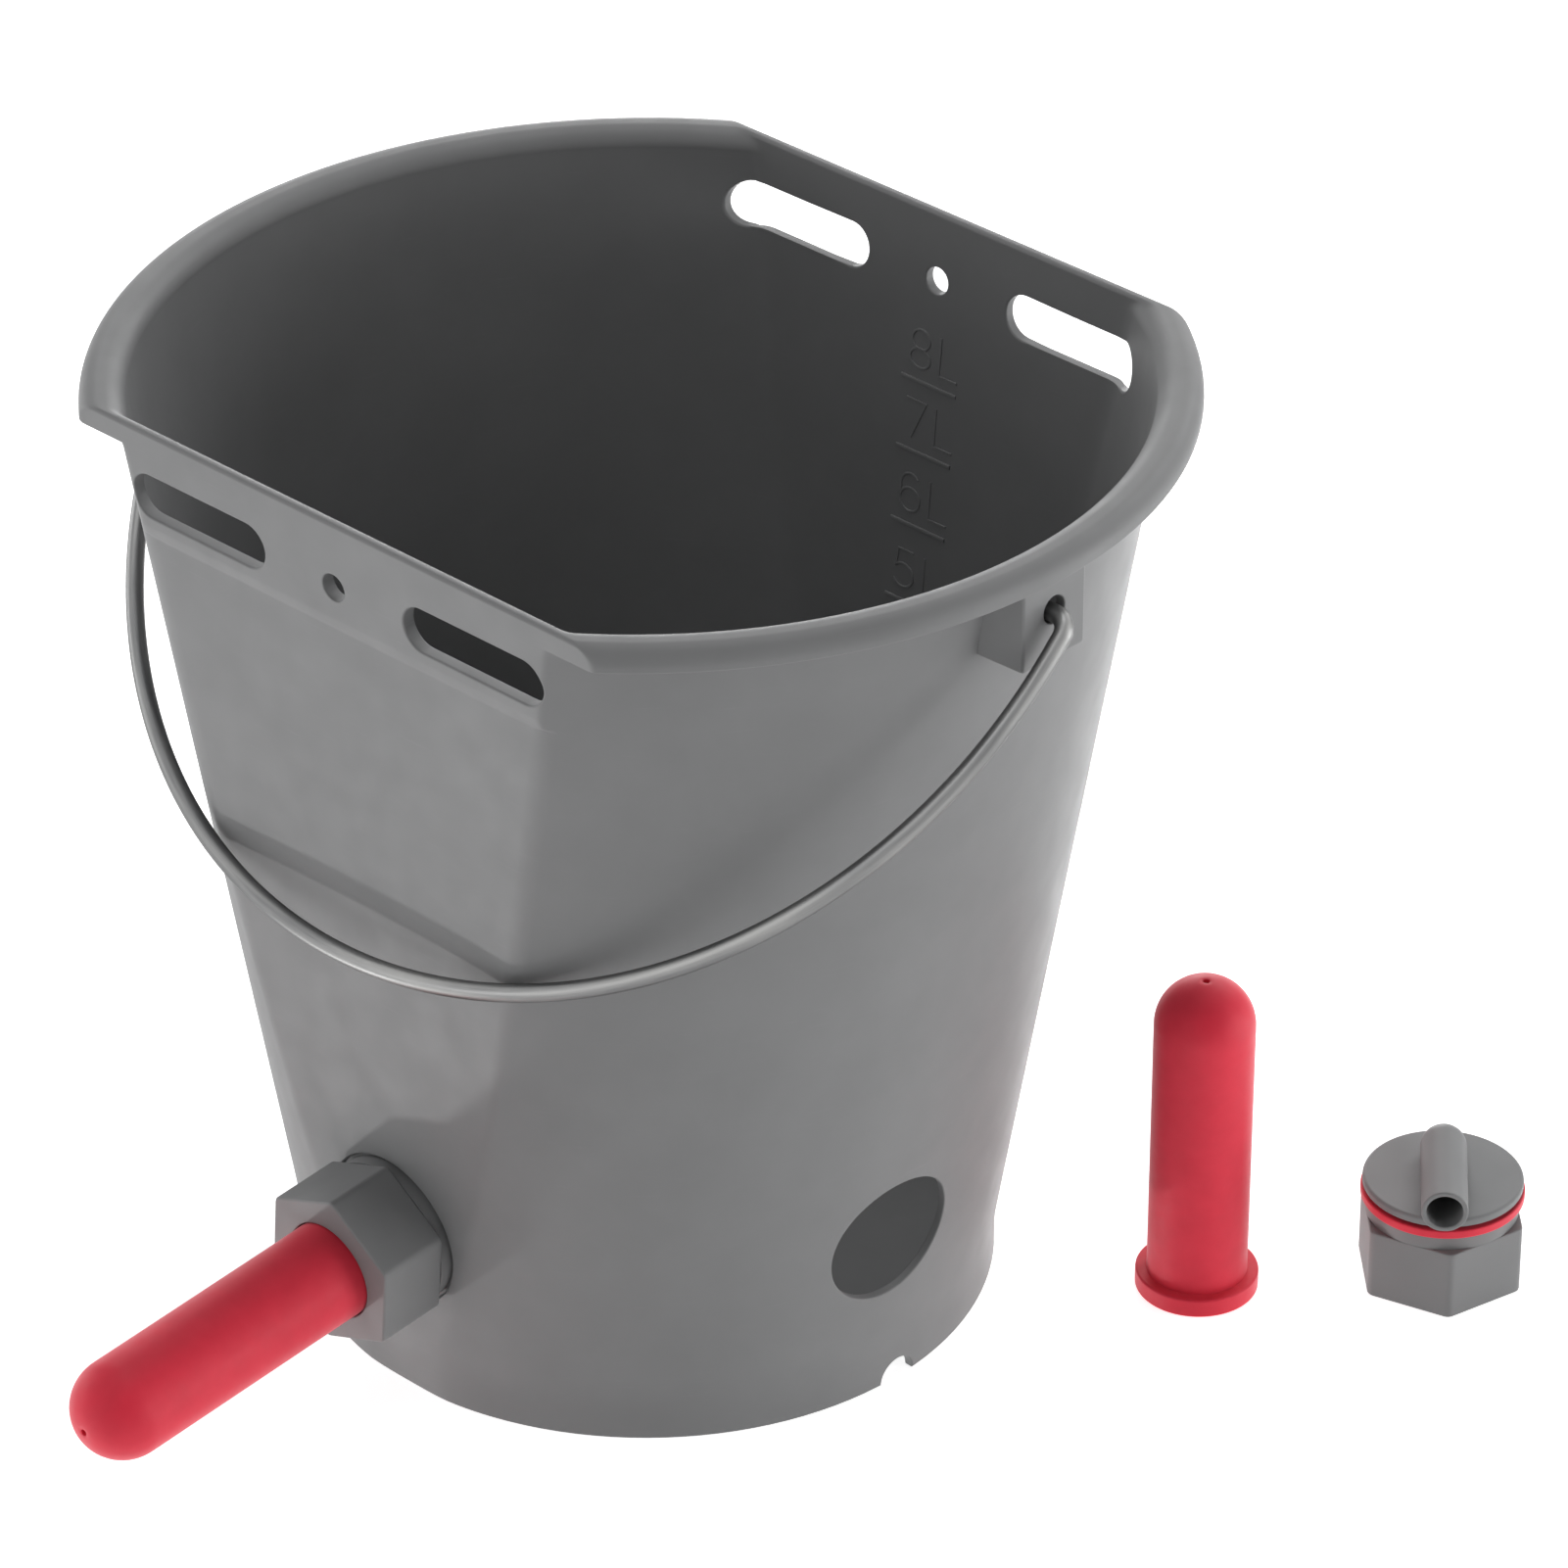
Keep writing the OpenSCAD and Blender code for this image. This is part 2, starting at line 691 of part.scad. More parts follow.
module spare_gasket()
    color(rubber_red)
        at_spare_valve(0)
            gasket_shape();

module spare_ball()
    color(ball_white)
        at_spare_valve(0)
            ball_shape();

module spare_ball_cage()
    color(ball_white)
        at_spare_valve(spare_body_turn)
            ball_cage_shape();

module spare_nut()
    color(bucket_grey)
        at_spare_valve(0)
            nut_shape(-spare_nut_turn);

module spare_teat()
    color(rubber_red)
        translate([spare_teat_x, spare_teat_y, 0])
            teat_shape();

bucket();
bail();
valve_body();
valve_gasket();
valve_ball();
valve_ball_cage();
valve_nut();
teat();
spare_valve_body();
spare_gasket();
spare_ball();
spare_ball_cage();
spare_nut();
spare_teat();
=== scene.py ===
import math

import bmesh
import bpy
import numpy as np
from mathutils import Matrix, Vector


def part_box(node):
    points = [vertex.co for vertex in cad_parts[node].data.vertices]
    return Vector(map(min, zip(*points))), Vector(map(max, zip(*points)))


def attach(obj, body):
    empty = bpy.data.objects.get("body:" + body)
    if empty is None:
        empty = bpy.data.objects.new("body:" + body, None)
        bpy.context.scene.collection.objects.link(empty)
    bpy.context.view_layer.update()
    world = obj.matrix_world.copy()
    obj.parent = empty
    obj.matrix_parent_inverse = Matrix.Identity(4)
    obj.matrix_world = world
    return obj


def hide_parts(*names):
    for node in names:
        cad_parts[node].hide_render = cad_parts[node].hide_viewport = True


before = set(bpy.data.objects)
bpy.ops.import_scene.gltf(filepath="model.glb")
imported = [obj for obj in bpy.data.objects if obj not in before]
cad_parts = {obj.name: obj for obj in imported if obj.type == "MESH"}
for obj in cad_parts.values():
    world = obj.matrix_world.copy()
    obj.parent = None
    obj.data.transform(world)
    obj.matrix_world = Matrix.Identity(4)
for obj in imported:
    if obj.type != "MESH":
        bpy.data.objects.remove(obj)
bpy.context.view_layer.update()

# Sizes, in mm. The bucket's height and the rim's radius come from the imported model. Round sizes are
# diameters, but THREAD_BORE, GUIDE_BORE, WALL_BASE and what is named a radius are radii.
MM = 0.001
bucket_low, bucket_high = (np.array(corner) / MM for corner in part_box("bucket"))
HEIGHT = bucket_high[2]
RIM_RADIUS = bucket_high[0]
WALL_BASE = 94.25
WALL_SLOPE = 0.1595
WALL = 2.5
FLAT_BASE = 95.6
FRONT_SLOPE = 0.0687
BACK_SLOPE = 0.0893
FLAT_WALL = 3.4
FLOOR_TOP = 14.5
FLOOR_UNDERSIDE = 11.5
FOOT_RADIUS = 96.3
FOOT_WALL = 3
NOTCH_RADIUS = 6.1
NOTCH_TURN = -1.5

RIM_BOTTOM = HEIGHT - 6.5
RIM_SKIN = 2.4
RIM_ROUND = 5
MOUTH_ROUND = 5.5
LEDGE_BOTTOM = HEIGHT - 33.1
LEDGE_TOP = HEIGHT - 29.1
BAND_RECESS = 0.3
WAIST_DEPTH = 1.2
WAIST_START = 140
FRONT_BAND_EXTRA = 1
FRONT_EDGE_ROUND = 2.7
BEAD_ROUND = 1.2
CORNER_SOFT = 0.9
WAIST_CORNER_SOFT = 3.3
INNER_CORNER_SOFT = 1.6
SOFT_START = 110
SOFT_FULL = 220
SLOT_Z = HEIGHT - 19.7
SLOT_LENGTH = 49.5
SLOT_HEIGHT = 13.2
SLOT_SPACING = 100.2
HANGING_HOLE = 7.9

EAR_FACE = RIM_RADIUS - 2.5
EAR_WIDTH = 23.4
EAR_ROOT_WIDTH = 32
EAR_BOTTOM = HEIGHT - 30.4
EAR_RISE = 3
EAR_PLATE = 3
EAR_SIDE = 2.5
EAR_HOLE = 7.8
EAR_HOLE_Z = HEIGHT - 16.1

WIRE = 5
PIVOT_Z = EAR_HOLE_Z - 1.1
BAIL_SLIP = 0.9
BAIL_RADIUS = RIM_RADIUS + 3 + BAIL_SLIP
BAIL_LEG = 9.2
BAIL_BEND = 5
BAIL_END = 137.383
BAIL_LEAN = 46.686

VALVE_HEIGHT = 52.7
VALVE_HOLE = 39.6
RECESS = 45
RECESS_DEPTH = 1.5
SIDE_HOLE_Z = 53.1
SIDE_HOLE_TURN = -6.3
GASKET = 45.6
GASKET_THICKNESS = 2.6
DISC = 44.7
DISC_THICKNESS = 2.5
LAND = 41
LAND_HEIGHT = 0.9
THREAD = 37
THREAD_BORE = 18.8
PITCH = 3
THREAD_DEPTH = 0.75
SPIGOT_BORE = 30.6
INLET = 13
INLET_BORE = 10.1
INLET_RISE = 3.7
INLET_REACH = 23.9
INLET_BACK = 8.1
SEAT_HOLE = 9.5
COLLAR = 43
COLLAR_THICKNESS = 4.4
NUT_WIDTH = 42.4
NUT_HEIGHT = 21.2
NUT_LIP = 5
NUT_TURN = 21.75
TEAT = 28
TEAT_LENGTH = 100
TEAT_FLANGE = 34.3
TEAT_FLANGE_THICKNESS = 5.7
TEAT_WALL = 3.8
TIP_HOLE = 1.8
SPARE_TEAT = (126.5, 87.4)
SPARE_VALVE = (171.2, 138.9)
SPARE_INLET_TURN = -50.2
SPARE_NUT_TURN = -44.2

# The camera, in m, degrees and mm
CAMERA_PLACE = (1.26575, -1.29061, 1.26176)
CAMERA_DOWN = 31.63
CAMERA_ROUND = 43.26
CAMERA_LENS = 179.96

# The soft lights: elevation and azimuth in degrees, power in W and width in m. The camera is at
# azimuth -46.7. The small light draws the shadows of the bail and nut on the front flat side.
LIT_POINT = (0.03, 0, 0.13)
LIGHT_DISTANCE = 2.5
WIDE = 1.15
SMALL = 0.14
FLOOR_GLOW = 0.5
FLOOR_SEEN = 0.8
SOFT_LIGHTS = {
    "behind": (10, 133, 21.6, WIDE),
    "behind right": (32, 97, 17, WIDE),
    "right": (4, 28, 15, WIDE),
    "right high": (32, 25, 5.4, WIDE),
    "left": (10, 193, 13.8, WIDE),
    "front left": (10, 253, 6.3, WIDE),
    "top": (80, 133, 15.4, WIDE),
    "top left": (55, 262, 6, WIDE),
    "top front": (32, 277, 3.1, WIDE),
    "below right": (-12, 51, 13.5, WIDE),
    "below behind": (-35, 113, 9.9, WIDE),
    "below left": (-38.5, 227, 8.6, SMALL),
}

# Places along a valve's axis, from the inner face of the bucket's wall and outwards
DISC_FACE = -GASKET_THICKNESS - LAND_HEIGHT
DISC_BACK = DISC_FACE - DISC_THICKNESS
NUT_SEAT = FLAT_WALL - RECESS_DEPTH
NUT_TOTAL = COLLAR_THICKNESS + NUT_HEIGHT
SPIGOT_END = NUT_SEAT + NUT_TOTAL - NUT_LIP - TEAT_FLANGE_THICKNESS
INLET_AXIS = DISC_BACK - INLET_RISE
GUIDE_END = 9.44
GUIDE_BORE = 6.3
GUIDE_RADIUS = 8
CHANNEL_RADIUS = 1.19

# Gap between the gasket's back and the land that it sits on
SEATING_GAP = 0.02

LITRE = 1000000
LAYER = 0.05
MARK_LENGTH = 20
MARK_HEIGHT = 1.2
MARK_RELIEF = 0.5
NUMERAL_HEIGHT = 11.4
NUMERAL_STROKE = 0.75
NUMERAL_RELIEF = 0.35


def wall_radius(z):
    return WALL_BASE + WALL_SLOPE * z


def flat_reach(slope, z):
    return FLAT_BASE + slope * z


LEVEL_WALL = WALL * math.hypot(1, WALL_SLOPE)


def level_flat(slope):
    return FLAT_WALL * math.hypot(1, slope)


# Points, faces and objects


def polar(radius, angle, height):
    """Points from their distance to the Z axis, their angle and their height."""
    return np.stack(np.broadcast_arrays(radius * np.cos(angle), radius * np.sin(angle), height), -1)


def unit(vectors):
    return vectors / np.linalg.norm(vectors, axis=1)[:, None]


def quarter(radius, steps):
    """A rounded edge as pairs of distances from its two sides, from (radius, 0) to (0, radius)."""
    t = np.radians(np.linspace(0, 90, steps))
    return np.stack([radius * (1 - np.sin(t)), radius * (1 - np.cos(t))], 1)


UP = np.array([0, 0, 1.0])


def directions(angle):
    """The level directions outwards from the Z axis and across, at an angle in degrees."""
    a = math.radians(angle)
    return np.array([math.cos(a), math.sin(a), 0]), np.array([-math.sin(a), math.cos(a), 0])


def grid_faces(rows, columns, close_rows):
    """Quads between neighbouring rows and columns of a grid of points."""
    i = np.arange(rows if close_rows else rows - 1)[:, None]
    j = np.arange(columns)[None, :]
    down = (i + 1) % rows
    right = (j + 1) % columns
    corners = [i * columns + j, i * columns + right, down * columns + right, down * columns + j]
    return np.stack(np.broadcast_arrays(*corners), -1).reshape(-1, 4).tolist()


def grid_part(points, close_rows=False, caps=False):
    """A part, as (points, faces), from points in rows that close on themselves. Caps close its first
    and last rows."""
    rows, columns = points.shape[:2]
    faces = grid_faces(rows, columns, close_rows)
    if caps:
        faces.append(list(range(columns)))
        faces.append(list(range((rows - 1) * columns, rows * columns)))
    return points.reshape(-1, 3), faces


def make_mesh(name, parts):
    """One mesh from several parts in mm. Equal points are merged and faces turned outwards."""
    points = np.concatenate([part[0] for part in parts])
    merge = 0.002 * MM
    faces = []
    start = 0
    for part_points, part_faces in parts:
        faces += [[index + start for index in face] for face in part_faces]
        start += len(part_points)
    mesh = bpy.data.meshes.new(name)
    mesh.from_pydata((points * MM).tolist(), [], faces)
    shape = bmesh.new()
    shape.from_mesh(mesh)
    bmesh.ops.remove_doubles(shape, verts=shape.verts, dist=merge)
    bmesh.ops.dissolve_degenerate(shape, edges=shape.edges, dist=merge)
    bmesh.ops.recalc_face_normals(shape, faces=shape.faces)
    shape.to_mesh(mesh)
    shape.free()
    return mesh


def make_object(name, parts):
    piece = bpy.data.objects.new(name, make_mesh(name, parts))
    bpy.context.scene.collection.objects.link(piece)
    return piece


def apply_modifiers(piece):
    """The piece's modifiers become part of its mesh."""
    shown = piece.evaluated_get(bpy.context.evaluated_depsgraph_get())
    mesh = bpy.data.meshes.new_from_object(shown)
    old = piece.data
    piece.modifiers.clear()
    piece.data = mesh
    bpy.data.meshes.remove(old)


def combine(piece, tool, operation):
    """Cuts the tool object from the piece, or joins it to the piece, and removes the tool."""
    step = piece.modifiers.new(operation.lower(), "BOOLEAN")
    step.operation = operation
    step.solver = "EXACT"
    step.object = tool
    apply_modifiers(piece)
    bpy.data.objects.remove(tool)


def finish_piece(piece, body, material, nodes=(), sharp=38):
    """Smooth shading with sharp edges kept, flat faces kept flat, and the piece's material and body."""
    mesh = piece.data
    mesh.shade_smooth()
    mesh.set_sharp_from_angle(angle=math.radians(sharp))
    mesh.materials.clear()
    mesh.materials.append(material)
    shading = piece.modifiers.new("even shading", "WEIGHTED_NORMAL")
    shading.keep_sharp = True
    shading.weight = 60
    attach(piece, body)
    if nodes:
        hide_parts(*nodes)
    return piece


def place(parts, matrix):
    """The parts, moved by a 4 by 4 matrix in mm."""
    m = np.array(matrix)
    return [(points @ m[:3, :3].T + m[:3, 3], faces) for points, faces in parts]


def turned(angle, axis):
    return Matrix.Rotation(math.radians(angle), 4, axis)


MOUNTED = (
    Matrix.Translation((0, -flat_reach(FRONT_SLOPE, VALVE_HEIGHT), VALVE_HEIGHT))
    @ turned(90 + math.degrees(math.atan(FRONT_SLOPE)), "X")
    @ Matrix.Translation((0, 0, -FLAT_WALL))
)


ALONG_INLET = Matrix.Translation((0, 0, INLET_AXIS)) @ turned(90, "X")


def spare(turn):
    """Place of a spare valve's piece, upside down on its nut."""
    return Matrix.Translation((*SPARE_VALVE, NUT_TOTAL)) @ turned(turn, "Z") @ turned(180, "X")


# Curves and profiles


def rounded(corners, steps=6, closed=False):
    """An outline through corners (x, y, radius), with each corner replaced by an arc tangent to its sides."""
    corners = [tuple(c) + (0,) * (3 - len(c)) for c in corners]
    count = len(corners)
    out = []
    for i, (x, y, radius) in enumerate(corners):
        corner = np.array([x, y], float)
        at_end = not closed and i in (0, count - 1)
        if at_end or radius <= 0:
            out.append(corner)
            continue
        before = np.array(corners[i - 1][:2], float) - corner
        after = np.array(corners[(i + 1) % count][:2], float) - corner
        before /= np.linalg.norm(before)
        after /= np.linalg.norm(after)
        half = math.acos(np.clip(before @ after, -1, 1)) / 2
        middle = (before + after) / np.linalg.norm(before + after)
        centre = corner + middle * radius / math.sin(half)
        first = corner + before * radius / math.tan(half) - centre
        last = corner + after * radius / math.tan(half) - centre
        sweep = math.pi - 2 * half
        for k in range(steps + 1):
            t = k / steps
            arm = math.sin((1 - t) * sweep) * first + math.sin(t * sweep) * last
            out.append(centre + arm / math.sin(sweep))
    return np.array(out)


def arc(centre, radius, start, end, steps):
    """Points of an arc, with angles in degrees."""
    a = np.radians(np.linspace(start, end, steps + 1))
    return np.stack([centre[0] + radius * np.cos(a), centre[1] + radius * np.sin(a)], 1)


def revolve(profile, segments=96, closed=False):
    """A part of revolution about Z, from a profile of (radius, height)."""
    a = np.linspace(0, 2 * np.pi, segments, endpoint=False)
    return grid_part(polar(profile[:, :1], a, profile[:, 1:2]), close_rows=closed)


def swept(path, normals, binormal, radius, segments=24):
    """A round bar along a flat path, with low domed ends. Normals lie in the path's plane."""
    end_rise = 0.35
    a = np.linspace(0, 2 * np.pi, segments, endpoint=False)
    ring = np.cos(a)[None, :, None] * normals[:, None, :] + np.sin(a)[None, :, None] * binormal
    points = path[:, None, :] + radius * ring
    ends = []
    for index, step in ((0, path[0] - path[1]), (-1, path[-1] - path[-2])):
        step = step / np.linalg.norm(step)
        cap = []
        for t in np.linspace(0, np.pi / 2, 5)[1:]:
            shrunk = radius * np.cos(t) * ring[index]
            cap.append(path[index] + shrunk + step * radius * end_rise * np.sin(t))
        ends.append(np.array(cap))
    return grid_part(np.concatenate([ends[0][::-1], points, ends[1]]))


def smooth_least(a, b, soft):
    """The smaller of two lengths, with a rounded change from one to the other."""
    h = np.clip(1 - np.abs(a - b) / soft, 0, 1)
    return np.minimum(a, b) - h * h * soft / 4


# The bucket's shell


def corner_angle(radius, reach):
    """Angle, in degrees from the X axis, of the corner where a circle meets a flat side."""
    return math.degrees(math.asin(min(reach / radius, math.sin(math.radians(84)))))


class Columns:
    """The angles of the shell's grid on one side of the X axis. They follow the two corners of each
    row: that of the rim's end face, and that of the wall or of the hollow."""

    def __init__(self, slope):
        band = flat_reach(slope, RIM_BOTTOM) - BAND_RECESS
        self.rim = corner_angle(RIM_RADIUS, band)
        self.wall = corner_angle(wall_radius(RIM_BOTTOM), band)
        near = np.array([-1.2, -0.8, -0.5, -0.25, 0, 0.25, 0.5, 0.8, 1.2])
        self.base = np.unique(np.round(np.concatenate([
            np.linspace(0, self.rim - 1.6, 26), self.rim + near,
            np.linspace(self.rim + 1.6, self.wall - 1.6, 3), self.wall + near,
            np.linspace(self.wall + 1.8, 90, 14)]), 5))

    def angles(self, wall_corner, rim_corner=None):
        if rim_corner is None:
            rim_corner = wall_corner * self.rim / self.wall
        return np.interp(self.base, [0, self.rim, self.wall, 90], [0, rim_corner, wall_corner, 90])


FRONT = Columns(FRONT_SLOPE)
BACK = Columns(BACK_SLOPE)


def shell_row(z, radius, front, back, place_in="wall", soft=CORNER_SOFT):
    """One level row of the shell: a circle cut by the front and back flat sides. Its place is the wall,
    the rim or the inside."""
    quarters = []
    for columns, reach in ((BACK, back), (FRONT, front)):
        corner = corner_angle(radius, reach) if radius > 0 else columns.wall
        if place_in == "rim":
            quarters.append(columns.angles(columns.wall, min(corner, columns.wall - 0.5)))
        elif place_in == "inside":
            quarters.append(columns.angles(corner + columns.wall - columns.rim, corner))
        else:
            quarters.append(columns.angles(corner))
    b, f = quarters
    degrees = np.concatenate([b[:-1], 180 - b[::-1][:-1], 180 + f[:-1], 360 - f[::-1][:-1]])
    a = np.radians(degrees)
    s = np.sin(a)
    reach = np.where(s < 0, front, back) / np.maximum(np.abs(s), 1e-4)
    r = smooth_least(radius, reach, soft) if radius > 0 else np.zeros_like(a)
    return polar(r, a, z)


def share(z, low, high):
    """How far a height is from low to high, between 0 and 1."""
    return min(max((z - low) / (high - low), 0), 1)


def outer_reach(slope, z):
    """Distance of a flat side's outer face. It is drawn in towards the ledge, comes out again over the
    ledge in a curve that ends level with the band, and is rounded at the top."""
    drawn_in = WAIST_DEPTH * share(z, WAIST_START, LEDGE_BOTTOM)
    out_again = 1 - (1 - share(z, LEDGE_BOTTOM, LEDGE_TOP)) ** 1.6
    reach = flat_reach(slope, z) - drawn_in + (WAIST_DEPTH - BAND_RECESS) * out_again
    above = z - (HEIGHT - BEAD_ROUND)
    if above > 0:
        centre = flat_reach(slope, HEIGHT) - BAND_RECESS - BEAD_ROUND
        reach = min(reach, centre + math.sqrt(max(BEAD_ROUND**2 - above**2, 0)))
    return reach


def band_inside(slope):
    """Extra thickness inside a band, and the radius of its inner edge."""
    return (FRONT_BAND_EXTRA, FRONT_EDGE_ROUND) if slope == FRONT_SLOPE else (0, BEAD_ROUND)


def inner_reach(slope, z):
    """Distance of a flat side's inner face, with its thicker band and rounded top edge."""
    extra, edge = band_inside(slope)
    reach = flat_reach(slope, z) - level_flat(slope) - extra * share(z, LEDGE_BOTTOM, LEDGE_TOP)
    above = z - (HEIGHT - edge)
    if above > 0:
        centre = flat_reach(slope, HEIGHT - edge) - level_flat(slope) - extra + edge
        reach = max(reach, centre - math.sqrt(max(edge**2 - above**2, 0)))
    return reach


def corner_soft(z):
    """The corners beside the flat sides are crisp low down and at the band, and soft in between."""
    if z > LEDGE_BOTTOM:
        return CORNER_SOFT
    return CORNER_SOFT + (WAIST_CORNER_SOFT - CORNER_SOFT) * share(z, SOFT_START, SOFT_FULL)


def outer_row(z, radius, inset=0, place_in="wall"):
    front = outer_reach(FRONT_SLOPE, z) - inset
    back = outer_reach(BACK_SLOPE, z) - inset
    return shell_row(z, radius, front, back, place_in, corner_soft(z))


def inner_row(z, radius, inset=0):
    front = inner_reach(FRONT_SLOPE, z) - inset
    back = inner_reach(BACK_SLOPE, z) - inset
    return shell_row(z, radius, front, back, "inside", INNER_CORNER_SOFT)


def heel_radius(z):
    """The foot ring runs into the wall with a soft change."""
    return -smooth_least(-FOOT_RADIUS, -wall_radius(z), 0.9)


def shell_part():
    """The whole shell as rows from the middle of the floor's underside, over the foot, up the outside,
    round the rim, down the inside and to the middle of the floor."""
    rows = []
    hollow = FOOT_RADIUS - FOOT_WALL
    wide = 2 * RIM_RADIUS
    for radius in [0, 30, 65]:
        rows.append(shell_row(FLOOR_UNDERSIDE, radius, wide, wide))
    for radius, z in arc((hollow - 2, FLOOR_UNDERSIDE - 2), 2, 90, 0, 5):
        rows.append(shell_row(z, radius, wide, wide))
    edge = 0.6
    for radius, z in arc((hollow + edge, edge), edge, 180, 270, 4):
        rows.append(outer_row(z, radius))
    for inset, rise in quarter(edge, 5):
        rows.append(outer_row(rise, FOOT_RADIUS - inset, inset))
    foot = [2, 4, 6, 8, 9.5, 10.5]
    heel = list(np.linspace(11.3, 15.5, 7)) + [16.3, 17.2, 18.5, 20, 22, 25, 29]
    for z in foot + heel + list(np.linspace(35, LEDGE_BOTTOM - 6, 20)):
        rows.append(outer_row(z, heel_radius(z)))
    ledge = [LEDGE_BOTTOM - 2, LEDGE_BOTTOM - 0.4] + list(np.linspace(LEDGE_BOTTOM, LEDGE_TOP, 8))
    for z in ledge + list(np.linspace(LEDGE_TOP + 2.5, LEDGE_TOP + 19, 6)):
        rows.append(outer_row(z, wall_radius(z)))
    fillet = 3
    root = 0.35
    for t in np.linspace(0, 1, 5):
        z = RIM_BOTTOM - fillet * (1 - t)
        rows.append(outer_row(z, wall_radius(z) + root * t * t))
    lip = 0.45
    for inset, rise in quarter(lip, 4):
        rows.append(outer_row(RIM_BOTTOM + rise, RIM_RADIUS - inset, place_in="rim"))
    for drop, inset in quarter(RIM_ROUND, 17):
        rows.append(outer_row(HEIGHT - drop, RIM_RADIUS - inset, place_in="rim"))
    mouth_radius = wall_radius(HEIGHT - MOUTH_ROUND) - LEVEL_WALL
    for outset, drop in quarter(MOUTH_ROUND, 17):
        rows.append(inner_row(HEIGHT - drop, mouth_radius + outset))
    band = [HEIGHT - 9, HEIGHT - 16, HEIGHT - 23]
    ledge = [LEDGE_TOP, (LEDGE_BOTTOM + LEDGE_TOP) / 2, LEDGE_BOTTOM]
    for z in band + ledge + list(np.linspace(LEDGE_BOTTOM - 7, FLOOR_TOP + 12, 22)):
        rows.append(inner_row(z, wall_radius(z) - LEVEL_WALL))
    low_radius = wall_radius(FLOOR_TOP + fillet) - LEVEL_WALL
    for rise, inset in quarter(fillet, 7):
        rows.append(inner_row(FLOOR_TOP + rise, low_radius - inset, inset))
    for radius in [75, 50, 25, 0]:
        rows.append(shell_row(FLOOR_TOP, radius, wide, wide, "inside"))
    return grid_part(np.array(rows))


# Cutting shapes


def meet(points, along, gap, steps=12):
    """Moves each point along a direction until it lies on a surface, where gap(points) is zero."""
    travel = np.zeros(len(points))
    tiny = 0.01
    for _ in range(steps):
        here = gap(points + travel[:, None] * along)
        there = gap(points + (travel + tiny)[:, None] * along)
        travel -= here * tiny / (there - here)
    return travel


def edge_cutter(contour, normals, origin, across, up, outwards, outer_gap, inner_gap,
                outer_edge, inner_edge, reach=4):
    """A hole's cutting shape, flared at both faces of the wall so that the hole's edges come out
    rounded. The contour and its normals are in the plane of across and up. The shape goes past both
    faces by reach."""
    rows = []

    def row(offset, gap, shift):
        flat = contour + normals * offset
        points = origin + flat[:, :1] * across + flat[:, 1:] * up
        travel = meet(points, outwards, gap)
        return points + (travel + shift)[:, None] * outwards

    rows.append(row(outer_edge, outer_gap, reach))
    for flare, depth in quarter(outer_edge, 5):
        rows.append(row(flare, outer_gap, -depth))
    for flare, depth in quarter(inner_edge, 5)[::-1]:
        rows.append(row(flare, inner_gap, depth))
    rows.append(row(inner_edge, inner_gap, -reach))
    return grid_part(np.array(rows), caps=True)


def stadium(length, height, steps=16):
    """A slot's contour with round ends, and its outward normals. A circle where both sizes are equal."""
    right = np.radians(np.linspace(-90, 90, steps + 1))
    left = np.radians(np.linspace(90, 270, steps + 1))
    if length == height:
        right = right[:-1]
        left = left[:-1]
    angle = np.concatenate([right, left])
    shift = np.concatenate([np.full(len(right), 1), np.full(len(left), -1)]) * (length - height) / 2
    normals = np.stack([np.cos(angle), np.sin(angle)], 1)
    return normals * height / 2 + np.stack([shift, np.zeros_like(shift)], 1), normals


def outside_face(points, radius, reach, soft):
    """How far points lie outside a face of the shell, measured level: a circle cut by a flat side."""
    r = np.hypot(points[:, 0], points[:, 1])
    return r - smooth_least(radius, reach * r / np.abs(points[:, 1]), soft)


def band_cutters():
    """The slots and hanging holes of both bands. A slot's outer end runs round the corner of the wall."""
    parts = []
    for side, slope in ((-1, FRONT_SLOPE), (1, BACK_SLOPE)):
        def outer(p, slope=slope):
            reach = flat_reach(slope, p[:, 2]) - BAND_RECESS
            return outside_face(p, wall_radius(p[:, 2]), reach, CORNER_SOFT)

        def inner(p, slope=slope):
            reach = flat_reach(slope, p[:, 2]) - level_flat(slope) - band_inside(slope)[0]
            return outside_face(p, wall_radius(p[:, 2]) - LEVEL_WALL, reach, INNER_CORNER_SOFT)

        holes = [(x, SLOT_LENGTH, SLOT_HEIGHT, 0.55) for x in (-SLOT_SPACING / 2, SLOT_SPACING / 2)]
        holes.append((0, HANGING_HOLE, HANGING_HOLE, 0.4))
        for x, length, height, edge in holes:
            contour, normals = stadium(length, height)
            parts.append(edge_cutter(
                contour, normals, np.array([x, side * 115.0, SLOT_Z]), np.array([1.0, 0, 0]), UP,
                np.array([0, side * 1.0, 0]), outer, inner, edge, edge, reach=9))
    return parts


def side_hole_cutter():
    """The round hole for a second valve, square to the curved wall."""
    lean = math.atan(WALL_SLOPE)
    level, across = directions(SIDE_HOLE_TURN)
    outwards = level * math.cos(lean) - UP * math.sin(lean)
    origin = level * wall_radius(SIDE_HOLE_Z) + UP * SIDE_HOLE_Z

    def outer(p):
        return np.hypot(p[:, 0], p[:, 1]) - wall_radius(p[:, 2])

    def inner(p):
        return np.hypot(p[:, 0], p[:, 1]) - wall_radius(p[:, 2]) + LEVEL_WALL

    contour, normals = stadium(VALVE_HOLE, VALVE_HOLE, 40)
    return edge_cutter(contour, normals, origin, across, np.cross(outwards, across), outwards,
                       outer, inner, 0.5, 0.4)


